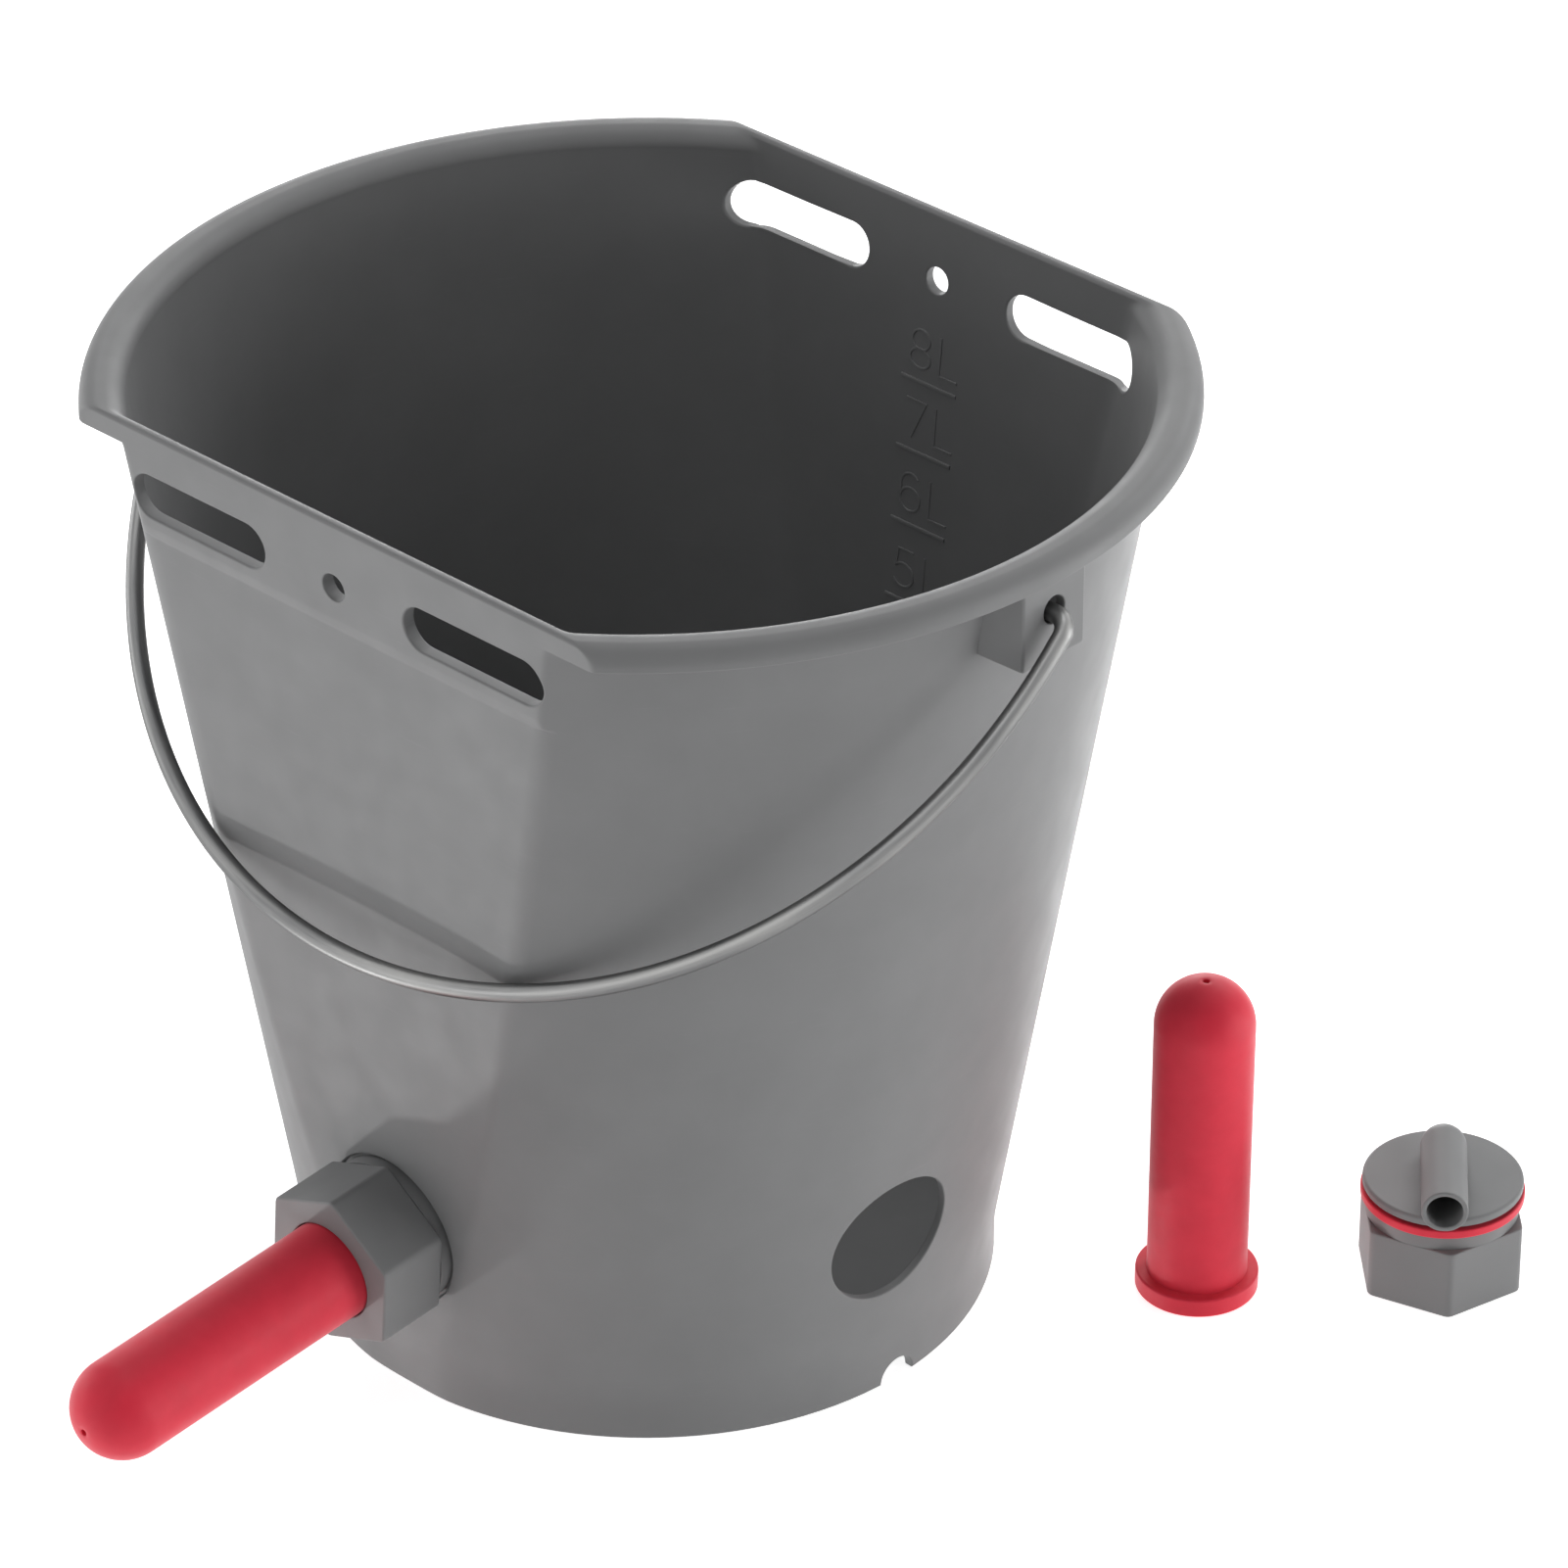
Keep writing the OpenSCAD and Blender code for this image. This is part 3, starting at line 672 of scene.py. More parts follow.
def notch_cutters():
    """The half-round notches in the foot ring."""
    def outer(p):
        return np.hypot(p[:, 0], p[:, 1]) - FOOT_RADIUS

    def inner(p):
        return np.hypot(p[:, 0], p[:, 1]) - FOOT_RADIUS + FOOT_WALL

    contour, normals = stadium(2 * NOTCH_RADIUS, 2 * NOTCH_RADIUS, 24)
    parts = []
    for turn in (NOTCH_TURN, NOTCH_TURN + 180):
        level, across = directions(turn)
        parts.append(edge_cutter(contour, normals, level * FOOT_RADIUS, across, UP, level,
                                 outer, inner, 0.5, 0.3))
    return parts


def valve_seat_cutter():
    """The mounted valve's hole with the shallow recess round it, about the valve's axis."""
    face = FLAT_WALL
    profile = rounded([
        (0, -3), (VALVE_HOLE / 2, -3), (VALVE_HOLE / 2, NUT_SEAT), (RECESS / 2, NUT_SEAT, 0.3),
        (RECESS / 2, face - 0.4), (RECESS / 2 + 0.4, face), (RECESS / 2 + 0.4, face + 3), (0, face + 3)], 4)
    return place([revolve(profile, 128)], MOUNTED)


def channel_cutters():
    """The hollow under the rolled rim on each curved side, closed by a web at both of its ends."""
    inner_top = HEIGHT - RIM_SKIN
    lip_inside = RIM_RADIUS - RIM_SKIN
    channel_round = RIM_ROUND - RIM_SKIN
    root = wall_radius(RIM_BOTTOM) + 0.45
    top_root = wall_radius(inner_top) + 0.2
    section = np.concatenate([
        [[root, RIM_BOTTOM - 2], [lip_inside + 0.25, RIM_BOTTOM - 2], [lip_inside + 0.25, RIM_BOTTOM],
         [lip_inside, RIM_BOTTOM + 0.25]],
        arc((lip_inside - channel_round, inner_top - channel_round), channel_round, 0, 90, 6),
        arc((top_root + 1, inner_top - 1), 1, 90, 180, 4)])
    ends = [-(flat_reach(FRONT_SLOPE, RIM_BOTTOM) - BAND_RECESS - RIM_SKIN),
            flat_reach(BACK_SLOPE, RIM_BOTTOM) - BAND_RECESS - RIM_SKIN]
    steps = np.linspace(0, 1, 49)
    first = np.arcsin(ends[0] / section[:, 0])
    last = np.arcsin(ends[1] / section[:, 0])
    angle = first[None, :] + (last - first)[None, :] * steps[:, None]
    parts = []
    for side in (1, -1):
        points = polar(section[:, 0], angle, section[:, 1]) * [side, 1, 1]
        parts.append(grid_part(points, caps=True))
    return parts


def ear_part(plate=0, side=0, low=0, bottom_round=0):
    """The block of the ear towards +X, or the pocket inside it, as rows up its height. The block's inner
    side lies within the bucket's wall and its top within the rim's skin."""
    root = wall_radius(EAR_BOTTOM)
    start = root - 3
    face = EAR_FACE - plate
    narrow = EAR_WIDTH / 2 - side
    wide = EAR_ROOT_WIDTH / 2 - side
    soft = 1.2 if plate == 0 else 0.4
    plan = rounded([(start, -wide), (root, -wide, 1.5), (face, -narrow, soft), (face, narrow, soft),
                    (root, wide, 1.5), (start, wide)], 5, closed=True)
    lower = EAR_BOTTOM - low + EAR_RISE * np.clip((EAR_FACE - plan[:, 0]) / (EAR_FACE - root), 0, 1)

    def row(flat, z):
        x = flat[:, 0]
        if plate == 0:
            x = np.maximum(x, wall_radius(z) - 1.6 + 0.35 * np.maximum(z - RIM_BOTTOM, 0))
        return np.column_stack([x, flat[:, 1], np.broadcast_to(z, x.shape)])

    rows = []
    if bottom_round > 0:
        inward = unit(np.array([(root + face) / 2, 0]) - plan)
        for inset, rise in quarter(bottom_round, 5):
            rows.append(row(plan + inward * inset, lower + rise))
    else:
        rows.append(row(plan, lower))
    rows.append(row(plan, RIM_BOTTOM))
    if plate == 0:
        rows.append(row(plan, HEIGHT - 1.6))
    return grid_part(np.array(rows), caps=True)


def ear_hole_cutter():
    """The bail's hole through the ear's plate, with rounded edges."""
    contour, normals = stadium(EAR_HOLE, EAR_HOLE, 20)

    def outer(p):
        return p[:, 0] - EAR_FACE

    def inner(p):
        return p[:, 0] - EAR_FACE + EAR_PLATE

    return edge_cutter(contour, normals, np.array([EAR_FACE, 0, EAR_HOLE_Z]), np.array([0, 1.0, 0]), UP,
                       np.array([1.0, 0, 0]), outer, inner, 0.45, 0.3)


# The litre marks


def milk_height(volume):
    """Height at which the bucket holds a volume, summed up from the floor in thin layers."""
    z = np.arange(FLOOR_TOP, LEDGE_BOTTOM + 10, LAYER)
    r = wall_radius(z) - LEVEL_WALL
    area = np.pi * r * r
    for slope in (FRONT_SLOPE, BACK_SLOPE):
        cut = np.minimum(flat_reach(slope, z) - level_flat(slope), r)
        area -= r * r * np.arccos(cut / r) - cut * np.sqrt(r * r - cut * cut)
    return float(np.interp(volume, np.cumsum(area) * LAYER, z))


def numeral_strokes(character):
    """The strokes of a numeral or letter one unit high and 0.7 wide, each a curve of (x, y) points."""
    def oval(x, y, half_width, half_height, start=0, end=360):
        a = np.radians(np.linspace(start, end, 33))
        return np.stack([x + half_width * np.cos(a), y + half_height * np.sin(a)], 1)

    def line(*points):
        return np.array(points, float)

    strokes = {
        "1": [line((0.12, 0.78), (0.38, 1), (0.38, 0))],
        "2": [np.concatenate([oval(0.35, 0.7, 0.31, 0.3, 160, -35), line((0.04, 0), (0.68, 0))])],
        "3": [oval(0.33, 0.75, 0.28, 0.25, 150, -90), oval(0.33, 0.26, 0.32, 0.25, 90, -150)],
        "4": [line((0.52, 0), (0.52, 1), (0.02, 0.3), (0.7, 0.3))],
        "5": [np.concatenate([line((0.62, 1), (0.14, 1), (0.08, 0.52)),
                              oval(0.32, 0.32, 0.33, 0.31, 125, -150)])],
        "6": [oval(0.35, 0.68, 0.3, 0.32, 40, 190), oval(0.36, 0.31, 0.31, 0.31),
              line((0.055, 0.62), (0.05, 0.3))],
        "7": [line((0.04, 1), (0.66, 1), (0.24, 0))],
        "8": [oval(0.35, 0.74, 0.28, 0.26), oval(0.35, 0.25, 0.32, 0.25)],
        "L": [line((0.06, 1), (0.06, 0), (0.64, 0))],
    }
    return strokes[character]


def raised_stroke(curve, width, relief, closed):
    """A low bar with a rounded top along a flat curve. It sinks a little into the wall."""
    if closed:
        curve = curve[:-1]
        tangent = np.roll(curve, -1, 0) - np.roll(curve, 1, 0)
    else:
        tangent = np.gradient(curve, axis=0)
    tangent = unit(tangent)
    across = np.stack([-tangent[:, 1], tangent[:, 0]], 1)
    side = np.array([-0.5, -0.42, -0.2, 0.2, 0.42, 0.5, 0.5, -0.5]) * width
    high = np.array([0.35, 0.85, 1, 1, 0.85, 0.35, -0.4, -0.4]) * relief
    flat = curve[:, None, :] + across[:, None, :] * side[None, :, None]
    points = np.concatenate([flat, np.broadcast_to(high[None, :, None], flat.shape[:2] + (1,))], -1)
    return grid_part(points, close_rows=closed, caps=not closed)


def litre_mark_parts():
    """All raised lines, numerals and letters inside the back flat side."""
    parts = []
    count = 0
    while milk_height((count + 1) * LITRE) <= LEDGE_BOTTOM - 14:
        count += 1
        z = milk_height(count * LITRE)
        lean = turned(90 - math.degrees(math.atan(BACK_SLOPE)), "X")
        at_mark = Matrix.Translation((0, inner_reach(BACK_SLOPE, z), z)) @ lean
        half = MARK_LENGTH / 2
        line = np.column_stack([np.linspace(-half, half, 9), np.zeros(9)])
        drawn = [raised_stroke(line, MARK_HEIGHT, MARK_RELIEF, False)]
        for character, left in ((str(count), -7.8), ("L", 2.7)):
            for curve in numeral_strokes(character):
                closed = np.allclose(curve[0], curve[-1])
                scaled = curve * NUMERAL_HEIGHT + [left, 4]
                drawn.append(raised_stroke(scaled, NUMERAL_STROKE, NUMERAL_RELIEF, closed))
        parts += place(drawn, at_mark)
    return parts


# The valve


def thread_depth(angle, along):
    """Depth below the crest of a helical thread, at an angle and a place along the axis. Half a crest
    and a flank are shares of the pitch."""
    half_crest = 0.14
    flank = 0.22
    phase = (along / PITCH - angle / (2 * np.pi)) % 1
    return THREAD_DEPTH * np.clip((np.abs(phase - 0.5) - half_crest) / flank, 0, 1)


def valve_body_parts():
    """The disc, land and spigot with its thread, the bore with the ball's guide tube, and no inlet tube."""
    a = 2 * np.pi * np.arange(96) / 96
    spigot = THREAD / 2
    bore = SPIGOT_BORE / 2
    outline = np.concatenate([
        [(0, DISC_BACK), (1.5, DISC_BACK)],
        rounded([(3, DISC_BACK), (DISC / 2, DISC_BACK, 0.9), (DISC / 2, DISC_FACE, 0.5),
                 (LAND / 2, DISC_FACE)], 5),
        [(LAND / 2, -GASKET_THICKNESS), (spigot, -GASKET_THICKNESS)]])
    along = np.arange(-GASKET_THICKNESS + 0.1, SPIGOT_END - 0.9, PITCH / 12)[:, None]
    fade = np.clip(np.minimum(along - 2.2, SPIGOT_END - 1.2 - along) / 1.2, 0, 1)
    inside = rounded([
        (spigot - 0.1, SPIGOT_END - 0.8), (spigot - 0.8, SPIGOT_END), (bore, SPIGOT_END, 0.4),
        (bore, DISC_FACE, 0.8), (GUIDE_RADIUS, DISC_FACE, 0.8), (GUIDE_RADIUS, GUIDE_END, 0.3),
        (GUIDE_BORE, GUIDE_END, 0.3), (GUIDE_BORE, DISC_FACE), (SEAT_HOLE / 2, DISC_FACE),
        (SEAT_HOLE / 2, INLET_AXIS), (0, INLET_AXIS)], 4)
    return [grid_part(np.concatenate([
        polar(outline[:, :1], a, outline[:, 1:]),
        polar(spigot - thread_depth(a, along) * fade, a, along),
        polar(inside[:, :1], a, inside[:, 1:])]))]


def inlet_parts():
    """A rod along the inlet tube, from its rounded end to its mouth."""
    r = INLET / 2
    profile = np.concatenate([
        arc((0, -INLET_BACK), r, -90, 0, 14),
        rounded([(r, -INLET_BACK + 1), (r, INLET_REACH, 0.5), (0, INLET_REACH)], 4)])
    return place([revolve(profile, 64)], ALONG_INLET)


def inlet_bore_parts():
    """The inlet tube's bore, flared at its mouth."""
    r = INLET_BORE / 2
    edge = 0.45
    profile = np.concatenate([
        arc((0, -INLET_BACK), r, -90, 0, 10),
        arc((r + edge, INLET_REACH - edge), edge, 180, 90, 4),
        [(r + edge, INLET_REACH + 2), (0, INLET_REACH + 2)]])
    return place([revolve(profile, 64)], ALONG_INLET)


def rod_part(radius, low, high, segments=96):
    """A plain rod along Z."""
    return revolve(np.array([(0, low), (radius, low), (radius, high), (0, high)]), segments)


def channel_parts():
    """The milk channels along the guide tube."""
    parts = []
    for i in range(4):
        a = math.radians(45 + 90 * i)
        rod = rod_part(CHANNEL_RADIUS, -GASKET_THICKNESS, GUIDE_END + 1, 20)
        parts += place([rod], Matrix.Translation((GUIDE_BORE * math.cos(a), GUIDE_BORE * math.sin(a), 0)))
    return parts


def make_valve_body(name, matrix):
    """The disc and spigot, joined to the part of the inlet tube that lies behind the disc's face, with
    the tube's bore, the way in through the seat and the milk channels cut."""
    body = make_object(name, valve_body_parts())
    tube = make_object("inlet tube", inlet_parts())
    combine(tube, make_object("spigot side", [rod_part(40, DISC_FACE + 0.001, 20, 32)]), "DIFFERENCE")
    combine(body, tube, "UNION")
    combine(body, make_object("bore", inlet_bore_parts()), "DIFFERENCE")
    way_in = rod_part(SEAT_HOLE / 2 + 0.02, INLET_AXIS, DISC_FACE + 1)
    combine(body, make_object("way in", [way_in]), "DIFFERENCE")
    combine(body, make_object("channels", channel_parts()), "DIFFERENCE")
    body.data.transform(Matrix.Scale(MM, 4) @ matrix @ Matrix.Scale(1 / MM, 4))
    return body


def hexagon(angle, width, soft):
    """Distance from the axis of a hexagon's side, with rounded corners. One corner is at angle 0."""
    from_middle = (np.degrees(angle) % 60) - 30
    near = width / 2 / np.cos(np.radians(from_middle))
    beside = width / 2 / np.cos(np.radians(60 - np.abs(from_middle)))
    return smooth_least(near, beside, soft)


def nut_parts():
    """The nut as rows from its mouth, over the front face, down the hexagon, round the collar and up
    the threaded bore."""
    after = np.array([0.8, 1.8, 3, 4.5, 6.5, 9, 13, 18, 24])
    corner = np.concatenate([-after[::-1], [0], after, [30]])
    a = np.radians(np.concatenate([corner + 60 * i for i in range(6)]))
    top = NUT_TOTAL
    mouth = TEAT / 2 + 0.3
    rows = []

    def circle(radius, s):
        rows.append(polar(radius, a, s))

    def hex_row(inset, s):
        rows.append(polar(hexagon(a, NUT_WIDTH - 2 * inset, 1.5), a, s))

    circle(mouth, top - NUT_LIP + 0.2)
    for r, s in arc((mouth + 0.5, top - 0.5), 0.5, 180, 90, 4):
        circle(r, s)
    circle(mouth + 2.5, top)
    for inset, drop in quarter(0.7, 6):
        hex_row(inset, top - drop)
    for s in np.linspace(top - 3, COLLAR_THICKNESS + 1.5, 6):
        hex_row(0, s)
    for inset, rise in quarter(0.5, 5)[::-1]:
        hex_row(inset, COLLAR_THICKNESS + rise)
    for r, s in rounded([(COLLAR / 2, COLLAR_THICKNESS), (COLLAR / 2, 0, 0.4), (THREAD_BORE + 0.5, 0),
                         (THREAD_BORE, 0.6)], 4):
        circle(r, s)
    inner_end = top - NUT_LIP
    along = np.arange(0.8, inner_end - 0.2, PITCH / 10)[:, None]
    fade = np.clip(np.minimum(along - 0.6, inner_end - TEAT_FLANGE_THICKNESS - along), 0, 1)
    rows += list(polar(THREAD_BORE + thread_depth(a, along + PITCH / 2) * fade, a, along))
    circle(THREAD_BORE, inner_end)
    circle(mouth, inner_end)
    return [grid_part(np.array(rows), close_rows=True)]


def teat_parts():
    """The teat: flange, tube and dome with a small hole, hollow from its flange."""
    radius = TEAT / 2
    bore = radius - TEAT_WALL
    dome = TEAT_LENGTH - radius
    hole = TIP_HOLE / 2
    lip = 0.35
    outside = np.concatenate([
        rounded([(bore, 0, 0), (TEAT_FLANGE / 2, 0, 0.7), (TEAT_FLANGE / 2, TEAT_FLANGE_THICKNESS, 0.7),
                 (radius, TEAT_FLANGE_THICKNESS, 0.25), (radius, 12)], 5),
        np.column_stack([np.full(8, radius), np.linspace(18, dome - 6, 8)]),
        arc((0, dome), radius, 0, 90 - math.degrees((hole + lip) / radius), 18)])
    crown = dome + math.sqrt(radius**2 - (hole + lip) ** 2)
    inner_crown = dome + math.sqrt(bore**2 - hole**2)
    inside = np.concatenate([
        [(hole + 0.1, crown - 0.12), (hole, crown - 0.4), (hole, inner_crown)],
        arc((0, dome), bore, 90 - math.degrees(hole / bore) - 4, 0, 14),
        [(bore, 40), (bore, 8), (bore, 0.5)]])
    return [revolve(np.concatenate([outside, inside]), 96, closed=True)]


def gasket_parts():
    back = -GASKET_THICKNESS + SEATING_GAP
    profile = rounded([(THREAD_BORE, back, 0.3), (GASKET / 2, back, 0.45), (GASKET / 2, 0, 0.45),
                       (THREAD_BORE, 0, 0.3)], 4, closed=True)
    return [revolve(profile, 128, closed=True)]


def bail_path():
    """The middle of the bail's wire: pin, bend, leg, half circle, leg, bend and pin. Returns its points in
    the bail's own plane, and that plane's two directions."""
    steps = 12
    right = [np.array([[BAIL_END, 0]]),
             arc((BAIL_RADIUS - BAIL_BEND, -BAIL_BEND), BAIL_BEND, 90, 0, steps),
             arc((0, -BAIL_LEG), BAIL_RADIUS, 0, -90, 96)]
    half = np.concatenate(right)
    lean = math.radians(-BAIL_LEAN)
    up = np.array([0, -math.sin(lean), math.cos(lean)])
    return np.concatenate([half, half[:-1][::-1] * [-1, 1]]), np.array([1.0, 0, 0]), up


def bail_parts():
    flat, level, up = bail_path()
    tangent = unit(np.gradient(flat, axis=0))
    path = flat[:, :1] * level + flat[:, 1:] * up + np.array([-BAIL_SLIP, 0, PIVOT_Z])
    normals = -tangent[:, 1:] * level + tangent[:, :1] * up
    return [swept(path, normals, np.cross(level, up), WIRE / 2)]


def mark_along_wire(piece):
    """Gives each point its length along the wire, in m, and its direction from the wire's middle."""
    flat, level, up = bail_path()
    points = np.empty(len(piece.data.vertices) * 3)
    piece.data.vertices.foreach_get("co", points)
    points = points.reshape(-1, 3) / MM - np.array([-BAIL_SLIP, 0, PIVOT_Z])
    length = np.concatenate([[0], np.cumsum(np.linalg.norm(np.diff(flat, axis=0), axis=1))])
    own = np.stack([points @ level, points @ up], 1)
    near = np.linalg.norm(own[:, None, :] - flat[None, :, :], axis=2).argmin(1)
    tangent = unit(np.gradient(flat, axis=0))[near]
    off = own - flat[near]
    beside = off[:, 1] * tangent[:, 0] - off[:, 0] * tangent[:, 1]
    above = points @ np.cross(level, up)
    along = length[near] + (off * tangent).sum(1)
    mark = piece.data.attributes.new("wire", "FLOAT_VECTOR", "POINT")
    values = np.stack([along * MM, beside / WIRE, above / WIRE], 1)
    mark.data.foreach_set("vector", values.ravel())


# Materials


class Shader:
    """A material whose nodes are added one by one."""

    def __init__(self, name):
        self.material = bpy.data.materials.new(name)
        self.material.use_nodes = True
        self.tree = self.material.node_tree
        self.surface = self.tree.nodes["Principled BSDF"]
        coordinates = self.tree.nodes.new("ShaderNodeTexCoord")
        self.place = coordinates.outputs["Object"]

    def add(self, kind, inputs=None, **settings):
        node = self.tree.nodes.new(kind)
        for name, value in settings.items():
            setattr(node, name, value)
        for name, value in (inputs or {}).items():
            self.put(node.inputs[name], value)
        return node

    def put(self, socket, value):
        if isinstance(value, bpy.types.NodeSocket):
            self.tree.links.new(value, socket)
        else:
            socket.default_value = value

    def set(self, **inputs):
        for name, value in inputs.items():
            self.put(self.surface.inputs[name.replace("_", " ")], value)

    def stretched(self, scale):
        """Object coordinates, scaled along each axis."""
        return self.add("ShaderNodeMapping", {"Vector": self.place, "Scale": scale}).outputs["Vector"]

    def noise(self, scale, detail=3.0, roughness=0.5, vector=None):
        node = self.add("ShaderNodeTexNoise", {"Vector": vector or self.place, "Scale": scale,
                                               "Detail": detail, "Roughness": roughness})
        return node.outputs["Fac"]

    def spread(self, value, low, high, to_low=0.0, to_high=1.0):
        """Stretches the range low to high over to_low to to_high."""
        node = self.add("ShaderNodeMapRange", {"Value": value, "From Min": low, "From Max": high,
                                               "To Min": to_low, "To Max": to_high})
        return node.outputs["Result"]

    def mottle(self, scale, detail, low=0.0, high=1.0):
        """Noise, with its middle values stretched over low to high."""
        return self.spread(self.noise(scale, detail), 0.3, 0.7, low, high)

    def mix(self, factor, first, second):
        node = self.add("ShaderNodeMix", data_type="RGBA")
        self.put(node.inputs["Factor"], factor)
        self.put(node.inputs["A"], first)
        self.put(node.inputs["B"], second)
        return node.outputs["Result"]

    def math(self, operation, first, second):
        node = self.add("ShaderNodeMath", operation=operation)
        self.put(node.inputs[0], first)
        self.put(node.inputs[1], second)
        return node.outputs[0]

    def bump(self, height, strength, distance, below=None):
        node = self.add("ShaderNodeBump", {"Height": height, "Strength": strength, "Distance": distance})
        if below is not None:
            self.put(node.inputs["Normal"], below)
        return node.outputs["Normal"]


def colour(*rgb):
    return (*rgb, 1.0)


def plastic(name, base, scratched):
    """Satin moulded polypropylene: faint mottling, a fine skin, and faint scratches on the bucket."""
    s = Shader(name)
    tint = s.mix(s.mottle(38.0, 4.0), colour(*[c * 0.965 for c in base]), colour(*[c * 1.035 for c in base]))
    rough = s.mottle(90.0, 3.0, 0.52, 0.6)
    normal = s.bump(s.noise(2600.0, 2.0), 0.10, 0.00008)
    normal = s.bump(s.noise(55.0, 2.0), 0.12, 0.0003, normal)
    if scratched:
        streak = s.noise(1.0, 2.0, 0.6, s.stretched((60.0, 60.0, 2400.0)))
        line = s.spread(streak, 0.66, 0.74)
        tint = s.mix(s.math("MULTIPLY", line, 0.10), tint, colour(*[c * 1.5 for c in base]))
        normal = s.bump(line, 0.15, 0.00003, normal)
    s.set(Base_Color=tint, Roughness=rough, Normal=normal, Specular_IOR_Level=0.42)
    return s.material


def rubber(name):
    """Smooth red rubber of an even colour and a soft sheen, with a painted sheen: its colour is paler pink at
    grazing angles.
    """
    s = Shader(name)
    red = s.mix(s.mottle(120.0, 4.0), colour(0.75, 0.026, 0.055), colour(0.81, 0.030, 0.062))
    facing = s.add("ShaderNodeLayerWeight", {"Blend": 0.35}).outputs["Facing"]
    # Painted sheen: the colour is paled towards pink where the surface is seen at a grazing angle.
    painted_sheen = s.spread(facing, 0.4, 1.0, 0.0, 0.4)
    tint = s.mix(painted_sheen, red, colour(0.78, 0.22, 0.25))
    rough = s.mottle(300.0, 3.0, 0.54, 0.62)
    normal = s.bump(s.noise(1800.0, 3.0), 0.10, 0.00006)
    s.set(Base_Color=tint, Roughness=rough, Normal=normal)
    s.set(Specular_IOR_Level=0.32, Sheen_Weight=0.25, Sheen_Roughness=0.45)
    s.set(Sheen_Tint=colour(1, 0.62, 0.66))
    return s.material


def zinc(name):
    """Galvanised wire: dull grey metal with streaks and fine lines along the wire."""
    s = Shader(name)
    along = s.add("ShaderNodeAttribute", attribute_name="wire").outputs["Vector"]
    streaks = s.add("ShaderNodeMapping", {"Vector": along, "Scale": (14.0, 1.3, 1.3)}).outputs["Vector"]
    lines = s.add("ShaderNodeMapping", {"Vector": along, "Scale": (30.0, 7.0, 7.0)}).outputs["Vector"]
    patch = s.spread(s.noise(1.0, 4.0, 0.6, streaks), 0.32, 0.68)
    tint = s.mix(patch, colour(0.15, 0.152, 0.155), colour(0.30, 0.30, 0.295))
    rough = s.spread(s.noise(2.0, 3.0, 0.5, streaks), 0.3, 0.7, 0.34, 0.50)
    normal = s.bump(s.noise(1.0, 2.0, 0.5, lines), 0.25, 0.00015)
    s.set(Base_Color=tint, Roughness=rough, Normal=normal, Metallic=1.0)
    s.set(Specular_Tint=colour(0.55, 0.55, 0.55))
    return s.material


def white(name):
    """Smooth white plastic of the check balls and their cages."""
    s = Shader(name)
    tint = s.mix(s.mottle(200.0, 3.0), colour(0.78, 0.78, 0.75), colour(0.86, 0.86, 0.83))
    rough = s.mottle(500.0, 2.0, 0.3, 0.42)
    s.set(Base_Color=tint, Roughness=rough, Normal=s.bump(s.noise(1500.0, 2.0), 0.08, 0.00005))
    return s.material


GREY = (0.208, 0.210, 0.213)
bucket_plastic = plastic("grey plastic", GREY, True)
valve_plastic = plastic("valve plastic", GREY, False)
red_rubber = rubber("red rubber")
galvanised = zinc("galvanised wire")
white_plastic = white("white plastic")


# The pieces


def build_bucket():
    shell = make_object("bucket_shell", [shell_part()])
    cutters = band_cutters() + [side_hole_cutter()] + notch_cutters()
    cutters += valve_seat_cutter() + channel_cutters()
    combine(shell, make_object("cutters", cutters), "DIFFERENCE")
    finish_piece(shell, "bucket", bucket_plastic, ["bucket"])
    for name, turn in (("ear_right", 0), ("ear_left", 180)):
        around = turned(turn, "Z")
        ear = make_object(name, place([ear_part(bottom_round=0.8)], around))
        pocket = ear_part(EAR_PLATE, EAR_SIDE, EAR_RISE + 1)
        combine(ear, make_object("pocket", place([pocket], around)), "DIFFERENCE")
        combine(ear, make_object("hole", place([ear_hole_cutter()], around)), "DIFFERENCE")
        finish_piece(ear, "bucket", bucket_plastic, ["bucket"])
    marks = make_object("litre_marks", litre_mark_parts())
    finish_piece(marks, "bucket", bucket_plastic, ["bucket"])


def build_valves():
    inlet_turn = SPARE_INLET_TURN - 90
    bodies = [("valve_body", MOUNTED, "bucket"), ("spare_valve_body", spare(inlet_turn), "spare_valve")]
    for node, matrix, body in bodies:
        piece = make_valve_body(node + "_moulding", matrix)
        finish_piece(piece, body, valve_plastic, [node], 32)
    nuts = [("valve_nut", MOUNTED @ Matrix.Translation((0, 0, NUT_SEAT)) @ turned(NUT_TURN, "Z"), "nut"),
            ("spare_nut", spare(0) @ turned(-SPARE_NUT_TURN, "Z"), "spare_nut")]
    for node, matrix, body in nuts:
        piece = make_object(node + "_moulding", place(nut_parts(), matrix))
        finish_piece(piece, body, valve_plastic, [node], 32)
    gaskets = [("valve_gasket", MOUNTED, "bucket"), ("spare_gasket", spare(0), "spare_gasket")]
    for node, matrix, body in gaskets:
        piece = make_object(node + "_ring", place(gasket_parts(), matrix))
        finish_piece(piece, body, red_rubber, [node])
    teats = [("teat", MOUNTED @ Matrix.Translation((0, 0, SPIGOT_END)), "teat"),
             ("spare_teat", Matrix.Translation((*SPARE_TEAT, 0)), "spare_teat")]
    for node, matrix, body in teats:
        piece = make_object(node + "_rubber", place(teat_parts(), matrix))
        finish_piece(piece, body, red_rubber, [node])
    for node in ("valve_ball", "valve_ball_cage", "spare_ball", "spare_ball_cage"):
        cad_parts[node].material_slots[0].material = white_plastic


def build_bail():
    bail = make_object("bail_wire", bail_parts())
    mark_along_wire(bail)
    finish_piece(bail, "bail", galvanised, ["bail"], 60)


# The stage


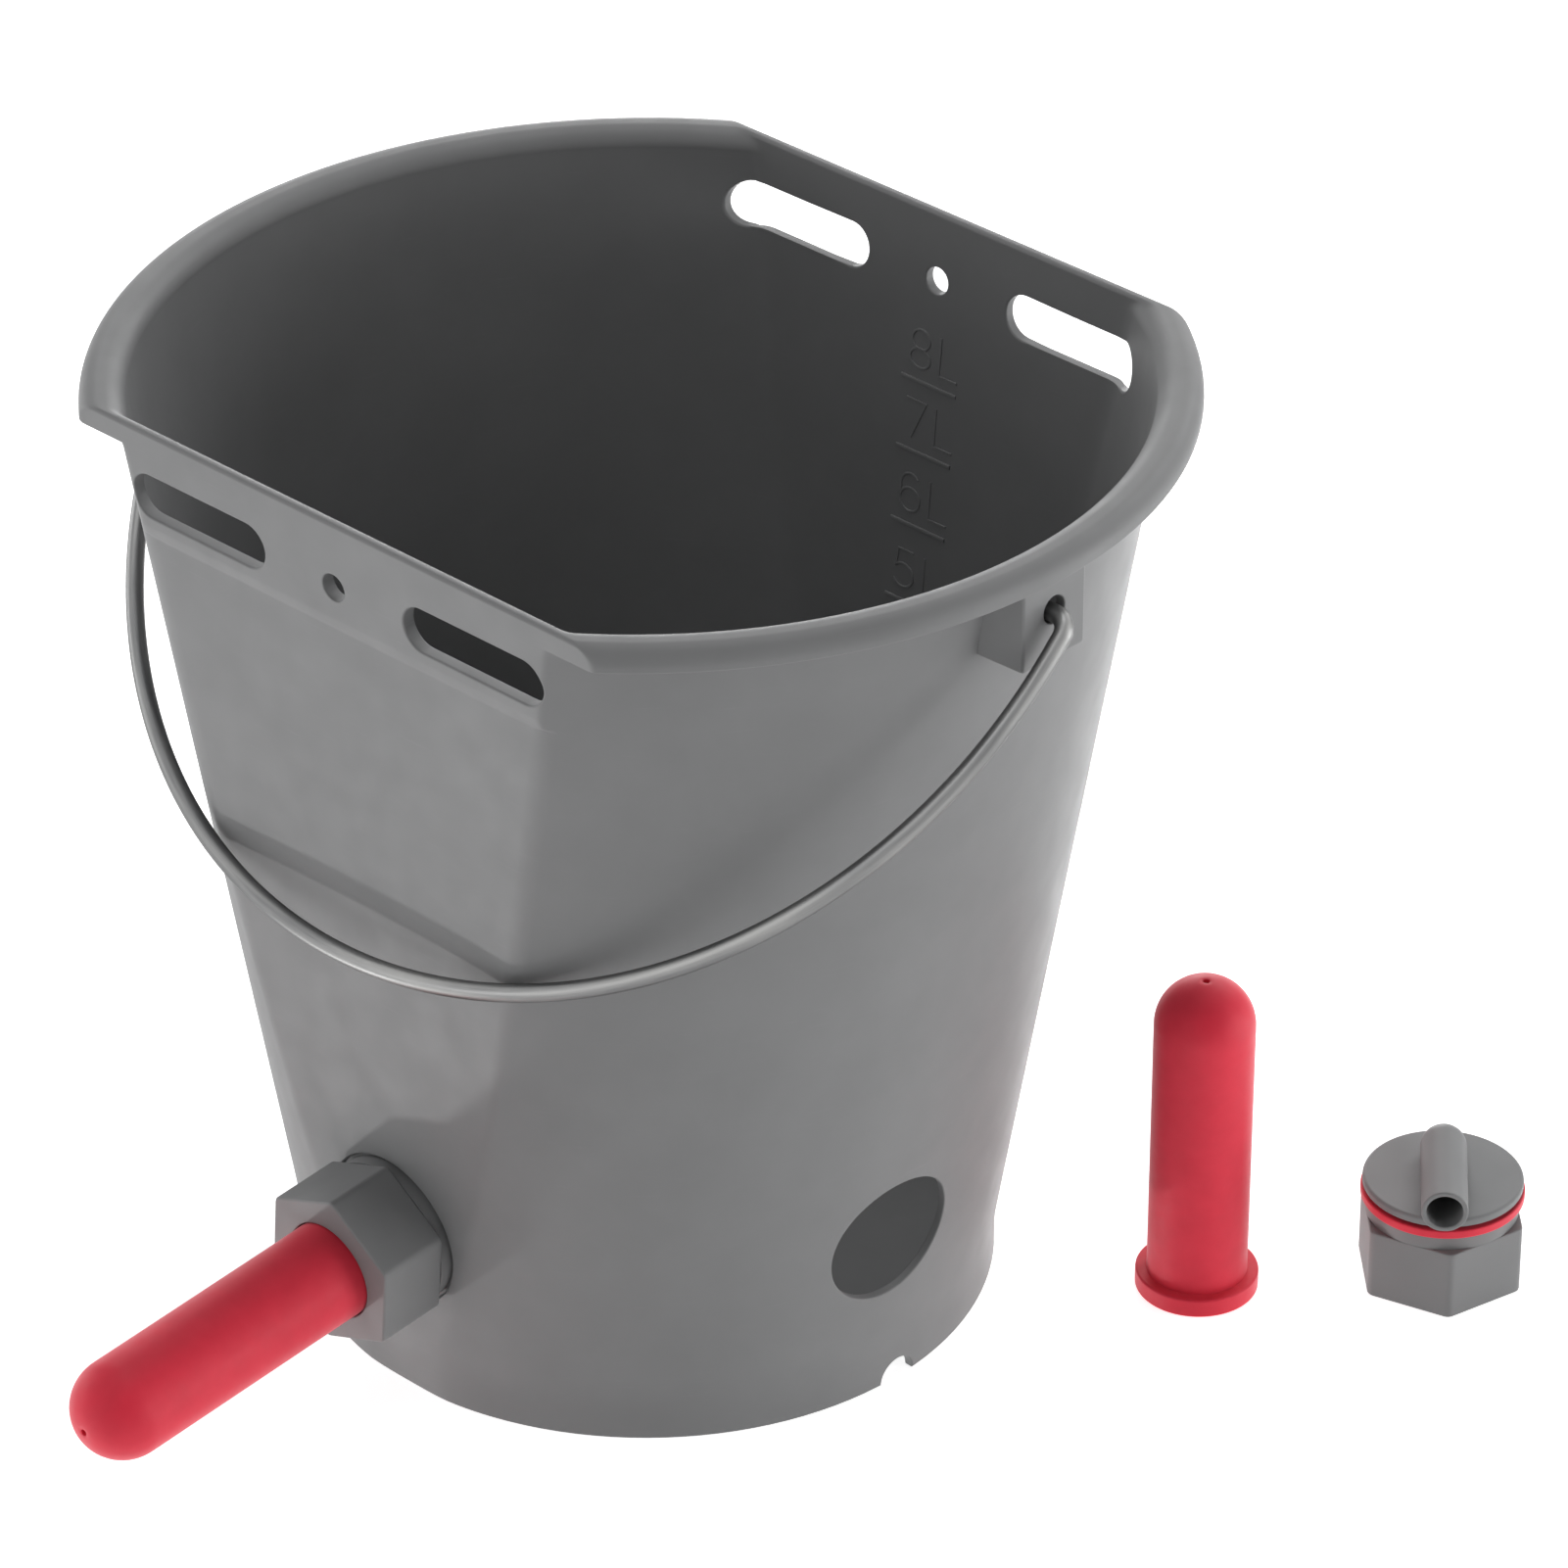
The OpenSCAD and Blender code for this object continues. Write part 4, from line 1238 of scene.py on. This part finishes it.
def build_camera():
    """The camera, from its fitted direction, place and field of view."""
    camera = bpy.data.cameras.new("camera")
    camera.sensor_width = 36
    camera.lens = CAMERA_LENS
    camera.clip_end = 50
    holder = bpy.data.objects.new("camera", camera)
    holder.location = CAMERA_PLACE
    holder.rotation_euler = (math.radians(90 - CAMERA_DOWN), 0, math.radians(CAMERA_ROUND))
    bpy.context.scene.collection.objects.link(holder)
    bpy.context.scene.camera = holder


def background_rays(tree):
    """A socket that is 1 for the rays that show the background: the camera's, gloss's and glass's."""
    path = tree.nodes.new("ShaderNodeLightPath").outputs
    seen = path["Is Camera Ray"]
    for other in ("Is Glossy Ray", "Is Transmission Ray"):
        either = tree.nodes.new("ShaderNodeMath")
        either.operation = "MAXIMUM"
        tree.links.new(seen, either.inputs[0])
        tree.links.new(path[other], either.inputs[1])
        seen = either.outputs[0]
    return seen


def build_floor():
    """A softly glowing white floor. It keeps its shadows, and the lights under it shine through."""
    size = 12
    mesh = bpy.data.meshes.new("floor")
    corners = [(-size, -size, 0), (size, -size, 0), (size, size, 0), (-size, size, 0)]
    mesh.from_pydata(corners, [], [(0, 1, 2, 3)])
    floor = bpy.data.objects.new("floor", mesh)
    floor.visible_shadow = False
    bpy.context.scene.collection.objects.link(floor)
    s = Shader("floor")
    s.set(Base_Color=colour(0.9, 0.9, 0.9), Roughness=0.9)
    seen = background_rays(s.tree)
    glow = s.spread(seen, 0, 1, FLOOR_GLOW, FLOOR_SEEN)
    s.set(Emission_Color=colour(1, 1, 1), Emission_Strength=glow)
    mesh.materials.append(s.material)


def soft_light(name, elevation, azimuth, power, width):
    """A round soft light at the same distance as the others, turned to the part."""
    light = bpy.data.lights.new(name, "AREA")
    light.shape = "DISK"
    light.size = width
    light.energy = power
    light.cycles.use_multiple_importance_sampling = elevation > 0
    up = math.radians(elevation)
    around = math.radians(azimuth)
    towards = Vector((math.cos(up) * math.cos(around), math.cos(up) * math.sin(around), math.sin(up)))
    holder = bpy.data.objects.new(name, light)
    holder.location = Vector(LIT_POINT) + LIGHT_DISTANCE * towards
    holder.rotation_euler = towards.to_track_quat("Z", "Y").to_euler()
    bpy.context.scene.collection.objects.link(holder)


def build_lights():
    world = bpy.data.worlds.new("studio")
    bpy.context.scene.world = world
    world.use_nodes = True
    background = world.node_tree.nodes["Background"]
    background.inputs["Color"].default_value = (1, 1, 1, 1)
    world.node_tree.links.new(background_rays(world.node_tree), background.inputs["Strength"])
    for name, settings in SOFT_LIGHTS.items():
        soft_light(name, *settings)


build_camera()
build_bucket()
build_valves()
build_bail()
build_floor()
build_lights()

bpy.context.scene.view_settings.view_transform = "Standard"
